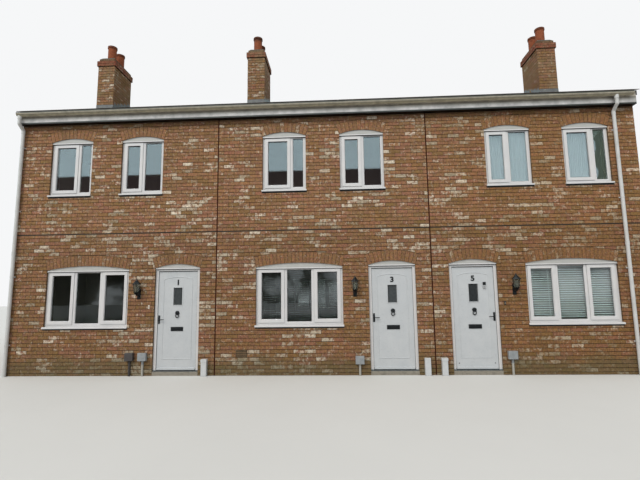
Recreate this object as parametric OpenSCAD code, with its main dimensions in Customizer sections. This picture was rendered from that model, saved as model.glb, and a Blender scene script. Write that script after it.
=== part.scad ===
// Row of three terraced houses in brick, with arched window and door heads,
// tiled duo-pitch roof and three two-flue chimney stacks.
// Front faces -Y, back is +Y, up is +Z. The origin is at ground level, on the
// front wall's face, in the middle of the middle house.

/* [Row] */
// Width of the left-hand house, from its outer face to the first party line
left_house_w = 4365; // [4300:5:4600]
// Width of the middle house, between the two party lines
middle_house_w = 4370; // [4360:5:4500]
// Width of the right-hand house, from the second party line to its outer face
right_house_w = 4215; // [4180:5:4600]
// Depth of the row, over both outer walls
row_depth = 7300; // [6600:100:9000]
// Thickness of the cavity walls round the outside
wall_t = 300; // [260:10:360]
// Thickness of the walls between the houses
party_t = 250; // [200:10:300]
// Width of the upright movement joints at the party lines
joint_w = 12; // [8:1:20]

/* [Storeys] */
// Height of one brick course with its bed joint
course = 75; // [65:1:80]
// Top of the ground floor above the paving
floor_top = 100; // [60:10:150]
// Level of the bed joint between the storeys
storey_line = 2900; // [2850:10:3000]
// Underside and thickness of the first floor
first_floor_z = 2520; // [2480:10:2560]
// Thickness of the first floor
first_floor_t = 240; // [200:10:280]
// Underside of the upper ceiling
ceiling_z = 5060; // [5040:10:5100]
// Thickness of the upper ceiling
ceiling_t = 120; // [80:10:150]
// Level of the soffit, where the front brickwork ends
soffit_z = 5320; // [5300:5:5360]
// Level of the wall plate, where the roof sits on the walls
plate_z = 5550; // [5540:5:5560]

/* [Openings] */
// Width of a ground-floor window frame
ground_window_w = 1766; // [1600:2:1800]
// Width of an upper window frame
upper_window_w = 915; // [860:5:960]
// Width of a door frame
door_w = 938; // [900:2:960]
// Underside of the ground-floor cills
ground_cill_z = 950; // [900:5:1000]
// Shadow line over the ground-floor windows
ground_head_z = 2108; // [2050:2:2150]
// Underside of the upper cills
upper_cill_z = 3728; // [3700:2:3760]
// Shadow line over the upper windows
upper_head_z = 4892; // [4850:2:4900]
// Shadow line over the doors
door_head_z = 2135; // [2100:5:2160]
// Height of the straight edge below a window's arch
window_spring = 38; // [20:1:50]
// Height of the straight edge below a door's arch
door_spring = 23; // [15:1:40]
// Rise of every segmental arch
arch_rise = 80; // [50:1:110]
// Depth of the outer brick leaf that carries the arches
leaf_t = 103; // [100:1:110]
// From the brick face back to a frame's face
frame_set = 40; // [30:1:50]
// Depth of the frames
frame_depth = 70; // [60:1:75]

/* [Opening places] */
// From the row's middle to the end houses' ground windows
side_window_x = 4905; // [4880:5:4930]
// From the row's middle to the end houses' doors
side_door_x = 2995; // [2980:5:3020]
// From the row's middle to the end houses' inner upper windows
side_upper_in_x = 3840; // [3750:5:3900]
// From the row's middle to the end houses' outer upper windows
side_upper_out_x = 5405; // [5350:5:5450]
// Ground window of the middle house
middle_window_x = -480; // [-520:5:-440]
// Door of the middle house
middle_door_x = 1394; // [1380:2:1410]
// Left upper window of the middle house
middle_upper_left_x = -780; // [-850:5:-700]
// Right upper window of the middle house
middle_upper_right_x = 848; // [780:2:900]

/* [Windows] */
// Visible width of a frame bar
frame_bar = 55; // [45:1:60]
// Width of a mullion
mullion_w = 60; // [50:1:70]
// Width of a casement's bars
sash_bar = 65; // [55:1:75]
// Lap of a casement over its frame
sash_lap = 12; // [8:1:15]
// How much of a frame's head the arched panel covers
head_cover = 33; // [20:1:40]
// Frame aperture of a ground window's casements
ground_sash_w = 514; // [480:2:540]
// Frame aperture of a wide upper casement
wide_sash_w = 520; // [480:2:560]
// Frame aperture of a narrow upper casement
narrow_sash_w = 386; // [350:2:420]
// Height of a cill at its nose
cill_h = 30; // [25:1:40]
// How far a cill stands out from the brick
cill_nose = 40; // [30:1:60]
// How far a cill runs past its frame on each side
cill_horn = 15; // [5:1:25]
// Thickness of the sealed glass units
glass_t = 24; // [20:1:28]

/* [Doors] */
// Thickness of a door leaf
leaf_depth = 48; // [44:1:52]
// Gap round a door leaf
door_gap = 8; // [7:1:10]
// Visible width of a door frame's jamb
door_jamb = 59; // [54:1:65]
// Visible height of a door frame's head
door_rail = 40; // [34:1:46]
// Lap of the frame's stop over the leaf's edge
stop_lap = 8; // [6:1:9]
// Depth of the door frame's stop
stop_depth = 12; // [8:1:14]
// Gap between the stop and the leaf's face
seal_gap = 6; // [5:1:8]
// Height of the metal threshold
threshold_h = 24; // [18:1:30]
// Width of the glazed light in a door
door_light_w = 165; // [120:5:200]
// Height of the glazed light in a door
door_light_h = 336; // [280:2:380]
// Level of the middle of the glazed light
door_light_z = 1576; // [1500:2:1640]
// Width of the arched panel on a door
door_panel_w = 610; // [560:5:640]
// Rise of the arch over the door panel
door_panel_crown = 50; // [30:1:70]
// Level of the middle of the knocker
knocker_z = 1240; // [1150:5:1300]
// Level of the middle of the lever handle's plate
handle_z = 1105; // [1050:5:1150]
// Level of the middle of the letter plate
letter_z = 915; // [880:5:950]

/* [Roof] */
// Pitch of both slopes
pitch = 24; // [20:0.5:25]
// Thickness of the roof, square to the slope
roof_t = 120; // [90:5:160]
// How far the tiles reach past the front wall into the gutter
eaves_out = 200; // [180:5:230]
// Height of the tile edge over the gutter
eaves_z = 5598; // [5590:2:5620]
// Thickness of the tile edge
tile_t = 28; // [20:1:40]
// How far the tiles reach past the end walls
verge = 40; // [30:5:60]
// Outer radius of the half-round ridge tiles
ridge_r = 125; // [110:5:150]
// How far the fascia's face stands out from the brick
fascia_out = 130; // [110:5:150]
// Thickness of the fascia and soffit boards
board_t = 20; // [16:1:25]

/* [Rainwater goods] */
// Outer radius of the gutter's round bottom
gutter_r = 58; // [50:1:62]
// Height of the gutter's straight sides
gutter_side = 18; // [10:1:25]
// Wall of the gutter and pipes
gutter_t = 4; // [3:0.5:5]
// Level of the gutter's rim
gutter_rim_z = 5548; // [5540:2:5560]
// Radius of a downpipe
pipe_r = 34; // [30:1:38]
// From the brick face to a downpipe's centre line
pipe_out = 60; // [45:1:70]

/* [Chimneys] */
// Width of a stack, along the row
stack_w = 460; // [440:5:500]
// Depth of a stack, front to back
stack_d = 900; // [850:10:1000]
// From the front wall's face to the front of the stacks
stack_y = 2100; // [1950:10:2200]
// Underside of the oversailing band
band_z = 7925; // [7700:25:8000]
// How far the band stands out
band_out = 28; // [20:1:40]
// Height of the mortar flaunching round the pots
flaunch_h = 55; // [30:5:70]
// Courses by which the middle stack stands above the others
middle_stack_courses = 1; // [0:1:2]
// Height of a chimney pot above the brick cap
pot_h = 475; // [400:5:600]
// Outer radius of a chimney pot's body
pot_r = 112; // [90:1:125]

/* [Hidden] */

BRICK = "#a5663f";
PLASTIC = "#ececea";
GLASS = "#4b5a5e";
IRON = "#1c1c1e";
EPS = 1;
ARC_FN = 360;
ROUND_FN = 48;

// How much of a door frame's head the arched panel covers
door_cover = 10;
// Hairline gap between pieces that fit each other
fit_gap = 0.3;
// The bed joints lie this much below whole courses from the ground
bed_drop = 25;
// Half the size of the square that cuts the gutter's section at its rim
row_edge = 100;
// Clear slit between the fascia board and the tile edge
fascia_slit = 2;
// Gap between the fascia and the gutter's back
gutter_gap = 6;
// How far the front gutter stops short of the right-hand corner
gutter_short = 100;
// Downpipes: from each corner of the row to the pipe, at the front and the back
front_pipe_in = [50, 425];
rear_pipe_in = [150, 150];
// Levels of the swan neck's bends below the soffit
neck_top_drop = 10;
neck_foot_drop = 110;

left_end = -middle_house_w / 2 - left_house_w;
left_line = -middle_house_w / 2;
right_line = middle_house_w / 2;
right_end = right_line + right_house_w;
back = row_depth;
inner_front = wall_t;
inner_back = row_depth - wall_t;

// Rooms, as [left, right] between the walls
ROOMS = [
    [left_end + wall_t, left_line - party_t / 2],
    [left_line + party_t / 2, right_line - party_t / 2],
    [right_line + party_t / 2, right_end - wall_t]
];

// Outer walls of each house, as [left, right] between the movement joints
HOUSES = [
    [left_end, left_line - joint_w / 2],
    [left_line + joint_w / 2, right_line - joint_w / 2],
    [right_line + joint_w / 2, right_end]
];

// Places along the row, left to right
DOORS_X = [-side_door_x, middle_door_x, side_door_x];
GROUND_X = [-side_window_x, middle_window_x, side_window_x];
// Upper windows, as [centre, aperture of the casement]
UPPER = [
    [-side_upper_out_x, wide_sash_w], [-side_upper_in_x, narrow_sash_w],
    [middle_upper_left_x, wide_sash_w], [middle_upper_right_x, narrow_sash_w],
    [side_upper_in_x, narrow_sash_w], [side_upper_out_x, wide_sash_w]
];
// Side of each door that carries the hinges: 1 is the right, -1 the left
HINGE_SIDE = [1, 1, -1];
// Left edge of each stack, standing against the wall that carries it
STACKS_X = [ROOMS[0][0], ROOMS[1][0], ROOMS[2][1] - stack_w];

ridge_y = row_depth / 2;
rise = tan(pitch);
ridge_z = eaves_z + (ridge_y + eaves_out) * rise;
roof_drop = roof_t / cos(pitch);
function roof_top(y) = eaves_z + (y + eaves_out) * rise;
function roof_under(y) = roof_top(y) - roof_drop;

// A block given by its two corners on each axis
module block(x, y, z) {
    translate([x[0], y[0], z[0]]) cube([x[1] - x[0], y[1] - y[0], z[1] - z[0]]);
}

// Turns an outline in X and Z into a slab from y[0] to y[1]
module upright(y) {
    translate([0, y[1], 0]) rotate([90, 0, 0]) linear_extrude(y[1] - y[0]) children();
}

// Turns an outline in Y and Z into a bar from x[0] to x[1]
module along(x) {
    translate([x[0], 0, 0]) rotate([90, 0, 90]) linear_extrude(x[1] - x[0]) children();
}

// Copies what follows to the back of the row, facing backwards
module at_rear() {
    translate([0, row_depth, 0]) mirror([0, 1, 0]) children();
}

// Radius of the segmental arch with chord w that rises by crown
function arch_radius(w, crown) = (w * w / 4 + crown * crown) / (2 * crown);

// Outline of an opening of width w from z0 up to its segmental arch
module arch_outline(x, w, z0, spring_z, crown = arch_rise) {
    r = arch_radius(w, crown);
    translate([x - w / 2, z0]) square([w, spring_z - z0]);
    intersection() {
        translate([x - w / 2, spring_z - EPS]) square([w, crown + EPS + EPS]);
        translate([x, spring_z + crown - r]) circle(r, $fn = ARC_FN);
    }
}

// The hole of a window or door through a front wall: arched through the
// outer leaf, and square behind it up to the top of the frame
module wall_opening(x, w, z0, head_z, spring, cover) {
    upright([-EPS, leaf_t]) arch_outline(x, w, z0, head_z + spring);
    block([x - w / 2, x + w / 2], [leaf_t - EPS, wall_t + EPS], [z0, head_z + cover]);
}

module ground_opening(x) {
    wall_opening(x, ground_window_w, ground_cill_z, ground_head_z, window_spring, head_cover);
}

module upper_opening(x) {
    wall_opening(x, upper_window_w, upper_cill_z, upper_head_z, window_spring, head_cover);
}

// Ground-storey wall from x[0] to x[1] with one window
module bay(x, window_x) {
    color(BRICK) difference() {
        block(x, [0, wall_t], [0, storey_line]);
        ground_opening(window_x);
    }
}

module front_wall_1_bay() { bay([HOUSES[0][0], -side_door_x - door_w / 2], -side_window_x); }
module front_wall_3_bay() { bay([HOUSES[1][0], middle_door_x - door_w / 2], middle_window_x); }
module front_wall_5_bay() { bay([side_door_x + door_w / 2, HOUSES[2][1]], side_window_x); }

// Brick piers between each door and its party line
module front_door_piers() {
    color(BRICK) {
        block([-side_door_x + door_w / 2, HOUSES[0][1]], [0, wall_t], [0, storey_line]);
        block([middle_door_x + door_w / 2, HOUSES[1][1]], [0, wall_t], [0, storey_line]);
        block([HOUSES[2][0], side_door_x - door_w / 2], [0, wall_t], [0, storey_line]);
    }
}

// Brickwork over the doors, with the arches cut in its underside
module front_door_heads() {
    color(BRICK) for (x = DOORS_X) difference() {
        block([x - door_w / 2, x + door_w / 2], [0, wall_t], [door_head_z + door_cover, storey_line]);
        wall_opening(x, door_w, 0, door_head_z, door_spring, door_cover);
    }
}

// Upper-storey wall of house i, with its two windows
module upper_wall(i) {
    color(BRICK) difference() {
        block(HOUSES[i], [0, wall_t], [storey_line, plate_z]);
        for (w = [UPPER[2 * i], UPPER[2 * i + 1]]) upper_opening(w[0]);
    }
}

module front_wall_1_upper() { upper_wall(0); }
module front_wall_3_upper() { upper_wall(1); }
module front_wall_5_upper() { upper_wall(2); }

// The back repeats the windows of the front and has no doors
module rear_wall_ground() { at_rear() for (i = [0:2]) bay(HOUSES[i], GROUND_X[i]); }
module rear_wall_upper() { at_rear() for (i = [0:2]) upper_wall(i); }

// Cross wall with a gable that carries the roof
module cross_wall(x) {
    along(x) polygon([
        [inner_front, 0], [inner_back, 0], [inner_back, roof_under(inner_front)],
        [ridge_y, roof_under(ridge_y)], [inner_front, roof_under(inner_front)]
    ]);
}

module left_end_wall() { color(BRICK) cross_wall([left_end, left_end + wall_t]); }
module right_end_wall() { color(BRICK) cross_wall([right_end - wall_t, right_end]); }
module party_walls() {
    color("#9b9389") for (x = [left_line, right_line]) cross_wall([x - party_t / 2, x + party_t / 2]);
}

// Filler and sealant in the upright joints between the houses
module movement_joints() {
    recess = 2;
    module strips() {
        for (x = [left_line, right_line])
            block([x - joint_w / 2, x + joint_w / 2], [recess, wall_t], [0, plate_z]);
    }
    color("#4a2418") {
        strips();
        at_rear() strips();
    }
}

module ground_floor() {
    color("#8c8a86") for (r = ROOMS) block(r, [inner_front, inner_back], [0, floor_top]);
}

// Takes the three stacks out of a floor or slope
module stack_holes(z) {
    for (x = STACKS_X) block([x, x + stack_w], [stack_y, stack_y + stack_d], z);
}

module first_floor() {
    z = [first_floor_z, first_floor_z + first_floor_t];
    color("#b79f7d") difference() {
        for (r = ROOMS) block(r, [inner_front, inner_back], z);
        stack_holes([z[0] - EPS, z[1] + EPS]);
    }
}

module upper_ceiling() {
    z = [ceiling_z, ceiling_z + ceiling_t];
    color("#e6e4df") difference() {
        for (r = ROOMS) block(r, [inner_front, inner_back], z);
        stack_holes([z[0] - EPS, z[1] + EPS]);
    }
}

// Concrete steps under the door thresholds, level with the floor behind them
module door_steps() {
    color("#8a8378") for (x = DOORS_X) {
        block([x - door_w / 2, x + door_w / 2], [0, wall_t], [0, floor_top - threshold_h]);
        block([x - door_w / 2, x + door_w / 2], [frame_set + frame_depth, wall_t], [0, floor_top]);
    }
}

// One roof slope: the eaves course of tiles over the gutter, and behind the
// fascia the tiles and rafters together, with their feet on the wall plate
module slope() {
    foot_y = board_t - fascia_out;
    lap_y = foot_y - fit_gap;
    along([left_end - verge, right_end + verge]) {
        polygon([
            [-eaves_out, eaves_z], [lap_y, roof_top(lap_y)],
            [lap_y, roof_top(lap_y) - tile_t], [-eaves_out, eaves_z - tile_t]
        ]);
        polygon([
            [foot_y, roof_top(foot_y)], [ridge_y, ridge_z], [ridge_y, ridge_z - roof_drop],
            [inner_front, roof_under(inner_front)], [inner_front, plate_z], [foot_y, plate_z]
        ]);
    }
}

module roof_front() {
    color("#4a4643") difference() {
        slope();
        stack_holes([plate_z, ridge_z]);
    }
}

module roof_rear() { color("#4a4643") at_rear() slope(); }

module roof_ridge() {
    foot_z = ridge_z - ridge_r * rise;
    color("#57504b") difference() {
        along([left_end - verge, right_end + verge]) translate([ridge_y, foot_z]) difference() {
            circle(ridge_r, $fn = 96);
            circle(ridge_r - 15, $fn = 96);
        }
        along([left_end - verge - EPS, right_end + verge + EPS]) polygon([
            [0, roof_top(0)], [ridge_y, ridge_z], [row_depth, roof_top(0)], [row_depth, plate_z], [0, plate_z]
        ]);
    }
}

// Fascia board with the soffit board behind its foot
module eaves_boards() {
    fascia_top = roof_top(-fascia_out) - tile_t - fascia_slit;
    along([left_end, right_end]) translate([-fascia_out, soffit_z]) union() {
        square([board_t, fascia_top - soffit_z]);
        square([fascia_out, board_t / 2]);
    }
}

module front_eaves_boards() { color(PLASTIC) eaves_boards(); }
module rear_eaves_boards() { color(PLASTIC) at_rear() eaves_boards(); }

gutter_y = -fascia_out - gutter_gap - gutter_r;
gutter_end = right_end - gutter_short;
outlet_z = gutter_rim_z - gutter_side - gutter_r;

// Outline of the gutter's outside, grown by g
module gutter_outline(g) {
    centre_z = gutter_rim_z - gutter_side;
    intersection() {
        union() {
            translate([gutter_y, centre_z]) circle(gutter_r + g, $fn = ROUND_FN);
            translate([gutter_y - gutter_r - g, centre_z]) square([2 * (gutter_r + g), gutter_side + EPS]);
        }
        translate([gutter_y - row_edge, gutter_rim_z - 2 * row_edge]) square(2 * row_edge);
    }
}

module gutter(x) {
    difference() {
        along(x) gutter_outline(0);
        along([x[0] + gutter_t, x[1] - gutter_t]) translate([0, EPS]) gutter_outline(-gutter_t);
    }
}

module front_gutter() { color("#7d7768") gutter([left_end, gutter_end]); }
module rear_gutter() { color("#7d7768") at_rear() gutter([left_end, right_end]); }

// A straight length of pipe between two points
module pipe(a, b) {
    d = b - a;
    translate(a) rotate([0, acos(d[2] / norm(d)), atan2(d[1], d[0])])
        cylinder(r = pipe_r, h = norm(d), $fn = ROUND_FN);
}

// Socket under the gutter that the pipe slides into, with a saddle top
module outlet(x) {
    socket_h = 60;
    saddle_h = 25;
    wall = 8;
    difference() {
        translate([x, gutter_y, outlet_z - socket_h])
            cylinder(r = pipe_r + wall, h = socket_h + saddle_h, $fn = ROUND_FN);
        along([x - row_edge, x + row_edge]) gutter_outline(fit_gap);
    }
}

// Downpipe with its swan neck from the gutter's outlet back to the wall
module downpipe(x) {
    bend_top = [x, gutter_y, soffit_z - neck_top_drop];
    bend_foot = [x, -pipe_out, soffit_z - neck_foot_drop];
    outlet(x);
    pipe([x, gutter_y, outlet_z - 20], bend_top);
    translate(bend_top) sphere(pipe_r, $fn = ROUND_FN);
    pipe(bend_top, bend_foot);
    translate(bend_foot) sphere(pipe_r, $fn = ROUND_FN);
    pipe([x, -pipe_out, 0], bend_foot);
}

module downpipes() {
    color(PLASTIC) {
        for (x = [left_end + front_pipe_in[0], right_end - front_pipe_in[1]]) downpipe(x);
        at_rear() for (x = [left_end + rear_pipe_in[0], right_end - rear_pipe_in[1]]) downpipe(x);
    }
}

band_top = band_z + 2 * course;
cap_z = band_top + course;
// Height that each stack's band, cap and pots are raised by
STACKS_UP = [0, middle_stack_courses * course, 0];
// How far the cap's faces stand back from the stack's
cap_inset = 12;
// Bed joint with the lead tray that keeps rain from running down inside a stack
tray_z = 7100;
// From the middle of a stack to each pot's centre
pot_spacing = 207;
pot_foot_r = pot_r + 12;

// Brick stack from the ground floor up, parted by its damp tray, with a
// two-course oversailing band and a one-course cap
module stack(i) {
    xs = [STACKS_X[i], STACKS_X[i] + stack_w];
    ys = [stack_y, stack_y + stack_d];
    function grown(range, by) = [range[0] - by, range[1] + by];
    color(BRICK) {
        block(xs, ys, [floor_top, tray_z - fit_gap]);
        block(xs, ys, [tray_z, band_z + STACKS_UP[i]]);
        translate([0, 0, STACKS_UP[i]]) {
            block(grown(xs, band_out), grown(ys, band_out), [band_z, band_top]);
            block(grown(xs, -cap_inset), grown(ys, -cap_inset), [band_top, cap_z]);
        }
    }
}

module chimney_stack_1() { stack(0); }
module chimney_stack_3() { stack(1); }
module chimney_stack_5() { stack(2); }

// Puts what follows on the middle of every stack's cap
module on_caps() {
    for (i = [0:len(STACKS_X) - 1])
        translate([STACKS_X[i] + stack_w / 2, stack_y + stack_d / 2, cap_z + STACKS_UP[i]]) children();
}

// Puts what follows on both flues of every stack
module on_flues() {
    on_caps() for (side = [-1, 1]) translate([0, side * pot_spacing, 0]) children();
}

// Round pot with a flared foot, a rolled rim and a flue open at the top
module pot() {
    flue_r = pot_r - 18;
    flue_z = 80;
    rim_h = 50;
    foot_h = 60;
    difference() {
        union() {
            cylinder(r = pot_r, h = pot_h, $fn = ROUND_FN);
            translate([0, 0, pot_h - rim_h]) cylinder(r = pot_r + 14, h = rim_h, $fn = ROUND_FN);
            cylinder(r = pot_foot_r, h = foot_h, $fn = ROUND_FN);
        }
        translate([0, 0, flue_z]) cylinder(r = flue_r, h = pot_h, $fn = ROUND_FN);
    }
}

module chimney_pots() { color("#a5543a") on_flues() pot(); }

// Outline of the flaunching over a cap of width w
module flaunching_outline(w) {
    foot = w / 2 - cap_inset - 6;
    slope = 45;
    polygon([[-foot, 0], [foot, 0], [foot - slope, flaunch_h], [slope - foot, flaunch_h]]);
}

// Mortar that beds the pots and throws water off the cap
module chimney_flaunchings() {
    color("#9a958c") difference() {
        on_caps() intersection() {
            along([-stack_w, stack_w]) flaunching_outline(stack_d);
            upright([-stack_d, stack_d]) flaunching_outline(stack_w);
        }
        on_flues() translate([0, 0, -EPS])
            cylinder(r = pot_foot_r + fit_gap, h = flaunch_h + 2 * EPS, $fn = ROUND_FN);
    }
}

// Lead round the foot of each stack: soakers that lie on the tiles, and
// upstands whose top steps up the slope from one bed joint to the next
module chimney_flashings() {
    lead = 4;
    cover = 150;
    soaker = 150;
    ys = [stack_y - lead, stack_y + stack_d + lead];
    function joint(k) = k * course - bed_drop;
    function step_y(k) = (joint(k) - cover - eaves_z) / rise - eaves_out;
    first = ceil((roof_top(ys[0]) + cover + bed_drop) / course);
    last = ceil((roof_top(ys[1]) + cover + bed_drop) / course);
    function seat(y) = roof_top(y) + fit_gap;
    module over_roof(y, up) {
        polygon([[y[0], seat(y[0])], [y[1], seat(y[1])], [y[1], up[1]], [y[0], up[0]]]);
    }
    color("#7e858c") for (x = STACKS_X) difference() {
        union() {
            along([x - lead, x + stack_w + lead]) intersection() {
                over_roof(ys, [cap_z, cap_z]);
                for (k = [first:last]) translate([step_y(k - 1), 0])
                    square([step_y(k) - step_y(k - 1) + EPS, joint(k)]);
            }
            along([x - soaker, x + stack_w + soaker]) over_roof([ys[0] - soaker, ys[1] + soaker],
                [seat(ys[0] - soaker) + lead, seat(ys[1] + soaker) + lead]);
        }
        block([x, x + stack_w], [stack_y, stack_y + stack_d], [plate_z, cap_z]);
    }
}

// Windows. A window is [centre, width, cill, head, list of lights], and a
// light is [left edge, right edge, 1 for a casement or 0 for fixed glass].
function lights_3(w, s) = [
    [-w / 2 + frame_bar, -w / 2 + frame_bar + s, 1],
    [-w / 2 + frame_bar + s + mullion_w, w / 2 - frame_bar - s - mullion_w, 0],
    [w / 2 - frame_bar - s, w / 2 - frame_bar, 1]
];
function lights_2(w, s) = [
    [-w / 2 + frame_bar, -w / 2 + frame_bar + s, 1],
    [-w / 2 + frame_bar + s + mullion_w, w / 2 - frame_bar, 0]
];
WINDOWS = concat(
    [for (x = GROUND_X)
        [x, ground_window_w, ground_cill_z, ground_head_z, lights_3(ground_window_w, ground_sash_w)]],
    [for (u = UPPER)
        [u[0], upper_window_w, upper_cill_z, upper_head_z, lights_2(upper_window_w, u[1])]]
);
function aperture_z(w) = [w[2] + cill_h + frame_bar, w[3] + head_cover - frame_bar];
sash_in = sash_bar - sash_lap;

module window_frames() {
    for (w = WINDOWS) difference() {
        block([w[0] - w[1] / 2, w[0] + w[1] / 2], [frame_set, frame_set + frame_depth],
              [w[2] + cill_h, w[3] + head_cover]);
        for (l = w[4])
            block([w[0] + l[0], w[0] + l[1]], [frame_set - EPS, frame_set + frame_depth + EPS], aperture_z(w));
    }
}

// Opening lights: a lip over the frame and a body inside it
module casements() {
    front = frame_set - sash_lap;
    for (w = WINDOWS, l = w[4]) if (l[2] == 1) {
        x = [w[0] + l[0], w[0] + l[1]];
        z = aperture_z(w);
        difference() {
            union() {
                block([x[0] - sash_lap, x[1] + sash_lap], [front, frame_set],
                      [z[0] - sash_lap, z[1] + sash_lap]);
                block([x[0] + 2, x[1] - 2], [frame_set - EPS, frame_set + frame_depth - 10],
                      [z[0] + 2, z[1] - 2]);
            }
            block([x[0] + sash_in, x[1] - sash_in], [front - EPS, frame_set + frame_depth],
                  [z[0] + sash_in, z[1] - sash_in]);
        }
    }
}

module panes() {
    y = [frame_set + 16, frame_set + 16 + glass_t];
    for (w = WINDOWS, l = w[4]) {
        in = l[2] == 1 ? sash_in : 0;
        z = aperture_z(w);
        block([w[0] + l[0] + in, w[0] + l[1] - in], y, [z[0] + in, z[1] - in]);
    }
}

// Cill under each frame, with a weathered top and a nose in front of the brick
module cills() {
    for (w = WINDOWS) {
        half = w[1] / 2;
        z = w[2];
        along([w[0] - half, w[0] + half]) translate([0, z])
            square([frame_set + frame_depth, cill_h]);
        along([w[0] - half - cill_horn, w[0] + half + cill_horn]) polygon([
            [0, z], [0, z + cill_h], [-cill_nose + 6, z + cill_h - 6], [-cill_nose, z + cill_h - 12],
            [-cill_nose, z - 8], [-cill_nose + 10, z - 8], [-cill_nose + 10, z]
        ]);
    }
}

// Flat panel that fills an arch over a frame, with its foot over the frame's head
module head_panel(x, w, head_z, spring) {
    upright([frame_set - 25, frame_set]) arch_outline(x, w, head_z, head_z + spring);
}

module window_head_panels() {
    for (w = WINDOWS) head_panel(w[0], w[1], w[3], window_spring);
}

module front_window_frames() { color(PLASTIC) window_frames(); }
module front_casements() { color(PLASTIC) casements(); }
module front_glass() { color(GLASS) panes(); }
module front_cills() { color(PLASTIC) cills(); }
module front_head_panels() {
    color("#e6e5dc") {
        window_head_panels();
        for (x = DOORS_X) head_panel(x, door_w, door_head_z, door_spring);
    }
}
module rear_window_frames() { color(PLASTIC) at_rear() window_frames(); }
module rear_casements() { color(PLASTIC) at_rear() casements(); }
module rear_glass() { color(GLASS) at_rear() panes(); }
module rear_cills() { color(PLASTIC) at_rear() cills(); }
module rear_head_panels() { color("#e6e5dc") at_rear() window_head_panels(); }

// Slatted blinds behind the ground windows of the middle and right houses:
// a head rail, slats turned by tilt, and two ladder tapes that carry them
module blind(x, tilt) {
    w = ground_window_w - 120;
    y = frame_set + frame_depth + 30;
    rail = [w, 28, 30];
    slat = [w, 25, 2];
    tape = [12, 2];
    step = 44;
    head = ground_head_z - 20;
    n = floor((head - rail[2] - ground_cill_z - 110) / step);
    foot = head - rail[2] - n * step;
    translate([x, y, head - rail[2] / 2]) cube(rail, center = true);
    for (i = [1:n])
        translate([x, y, head - rail[2] - i * step]) rotate([tilt, 0, 0]) cube(slat, center = true);
    for (side = [-1, 1]) translate([x + side * w / 4 - tape[0] / 2, y - tape[1] / 2, foot - slat[2]])
        cube([tape[0], tape[1], head - foot]);
}

module window_blinds() {
    color("#dfe0dc") {
        blind(middle_window_x, 20);
        blind(side_window_x, 65);
    }
}

// Doors: a leaf closes behind the stop at its frame's outer face
frame_back = frame_set + frame_depth;
frame_top = door_head_z + door_cover;
stop_edge = door_w / 2 - door_jamb;
leaf_half = stop_edge + stop_lap;
jamb_edge = leaf_half + door_gap;
stop_z = door_head_z - door_rail;
stop_y = [frame_set, frame_set + stop_depth];
leaf_y = stop_y[1] + seal_gap;
leaf_z = [floor_top + door_gap, stop_z + stop_lap];
rail_z = leaf_z[1] + door_gap;

// Jamb of a door frame, with its stop; side is 1 on the right, -1 on the left
module jamb(x, side) {
    module bar(inner, y) {
        edges = [side * inner, side * door_w / 2];
        block([x + min(edges), x + max(edges)], y, [floor_top, frame_top]);
    }
    bar(jamb_edge, [frame_set, frame_back]);
    bar(stop_edge, stop_y);
}

module door_frame_jambs() { color(PLASTIC) for (x = DOORS_X, side = [-1, 1]) jamb(x, side); }

module door_frame_heads() {
    color(PLASTIC) for (x = DOORS_X) {
        block([x - jamb_edge, x + jamb_edge], [stop_y[1], frame_back], [rail_z, frame_top]);
        block([x - stop_edge, x + stop_edge], [stop_y[0], stop_y[1] + EPS], [rail_z, frame_top]);
        block([x - stop_edge, x + stop_edge], stop_y, [stop_z, rail_z + EPS]);
    }
}

module door_thresholds() {
    nose = 25;
    z = [floor_top - threshold_h, floor_top];
    color("#b9bbbd") for (x = DOORS_X)
        block([x - door_w / 2, x + door_w / 2], [frame_set - nose, frame_back], z);
}

// Foot of the arched panel, and the springing of its arch
door_panel_z = [310, 1930];
light_x = [-door_light_w / 2, door_light_w / 2];
light_z = [door_light_z - door_light_h / 2, door_light_z + door_light_h / 2];

// Bead of width t that follows an arched panel of width w
module panel_bead(w, z0, spring_z, crown, t) {
    inner_w = w - 2 * t;
    inner_r = arch_radius(w, crown) - t;
    inner_crown = inner_r - sqrt(inner_r * inner_r - inner_w * inner_w / 4);
    difference() {
        arch_outline(0, w, z0, spring_z, crown);
        arch_outline(0, inner_w, z0 + t, spring_z + crown - t - inner_crown, inner_crown);
    }
}

// Leaf with its light cut through, a planted bead round an arched panel and
// round the light, and a weather bar at its foot
module leaf(i) {
    bar_half = stop_edge - 16;
    bar_out = 24;
    bar_h = 42;
    bead_out = 5;
    bead_w = 14;
    light_bead_w = 26;
    leaf_back = leaf_y + leaf_depth;
    color(PLASTIC) translate([DOORS_X[i], 0, 0]) difference() {
        union() {
            block([-leaf_half, leaf_half], [leaf_y, leaf_back], leaf_z);
            block([-bar_half, bar_half], [leaf_y - bar_out, leaf_y + EPS], [leaf_z[0], leaf_z[0] + bar_h]);
            for (y = [[leaf_y - bead_out, leaf_y + EPS], [leaf_back - EPS, leaf_back + bead_out]]) {
                upright(y) panel_bead(door_panel_w, door_panel_z[0], door_panel_z[1], door_panel_crown, bead_w);
                block([light_x[0] - light_bead_w, light_x[1] + light_bead_w], y,
                      [light_z[0] - light_bead_w, light_z[1] + light_bead_w]);
            }
        }
        block(light_x, [leaf_y - bar_out, leaf_back + bar_out], light_z);
    }
}

module door_light(i) {
    pane_y = leaf_y + (leaf_depth - glass_t) / 2;
    color(GLASS) translate([DOORS_X[i], 0, 0]) block(light_x, [pane_y, pane_y + glass_t], light_z);
}

// Hinges: barrels behind the frame, on the line that the leaf turns about
pivot_x = (leaf_half + jamb_edge) / 2;
pivot_y = frame_back + 12;
HINGES_Z = [300, 1100, 1900];
// Half the height of a hinge's middle barrel, and the gap to the fixed ones
barrel_half = 25;
barrel_gap = 5;

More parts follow.
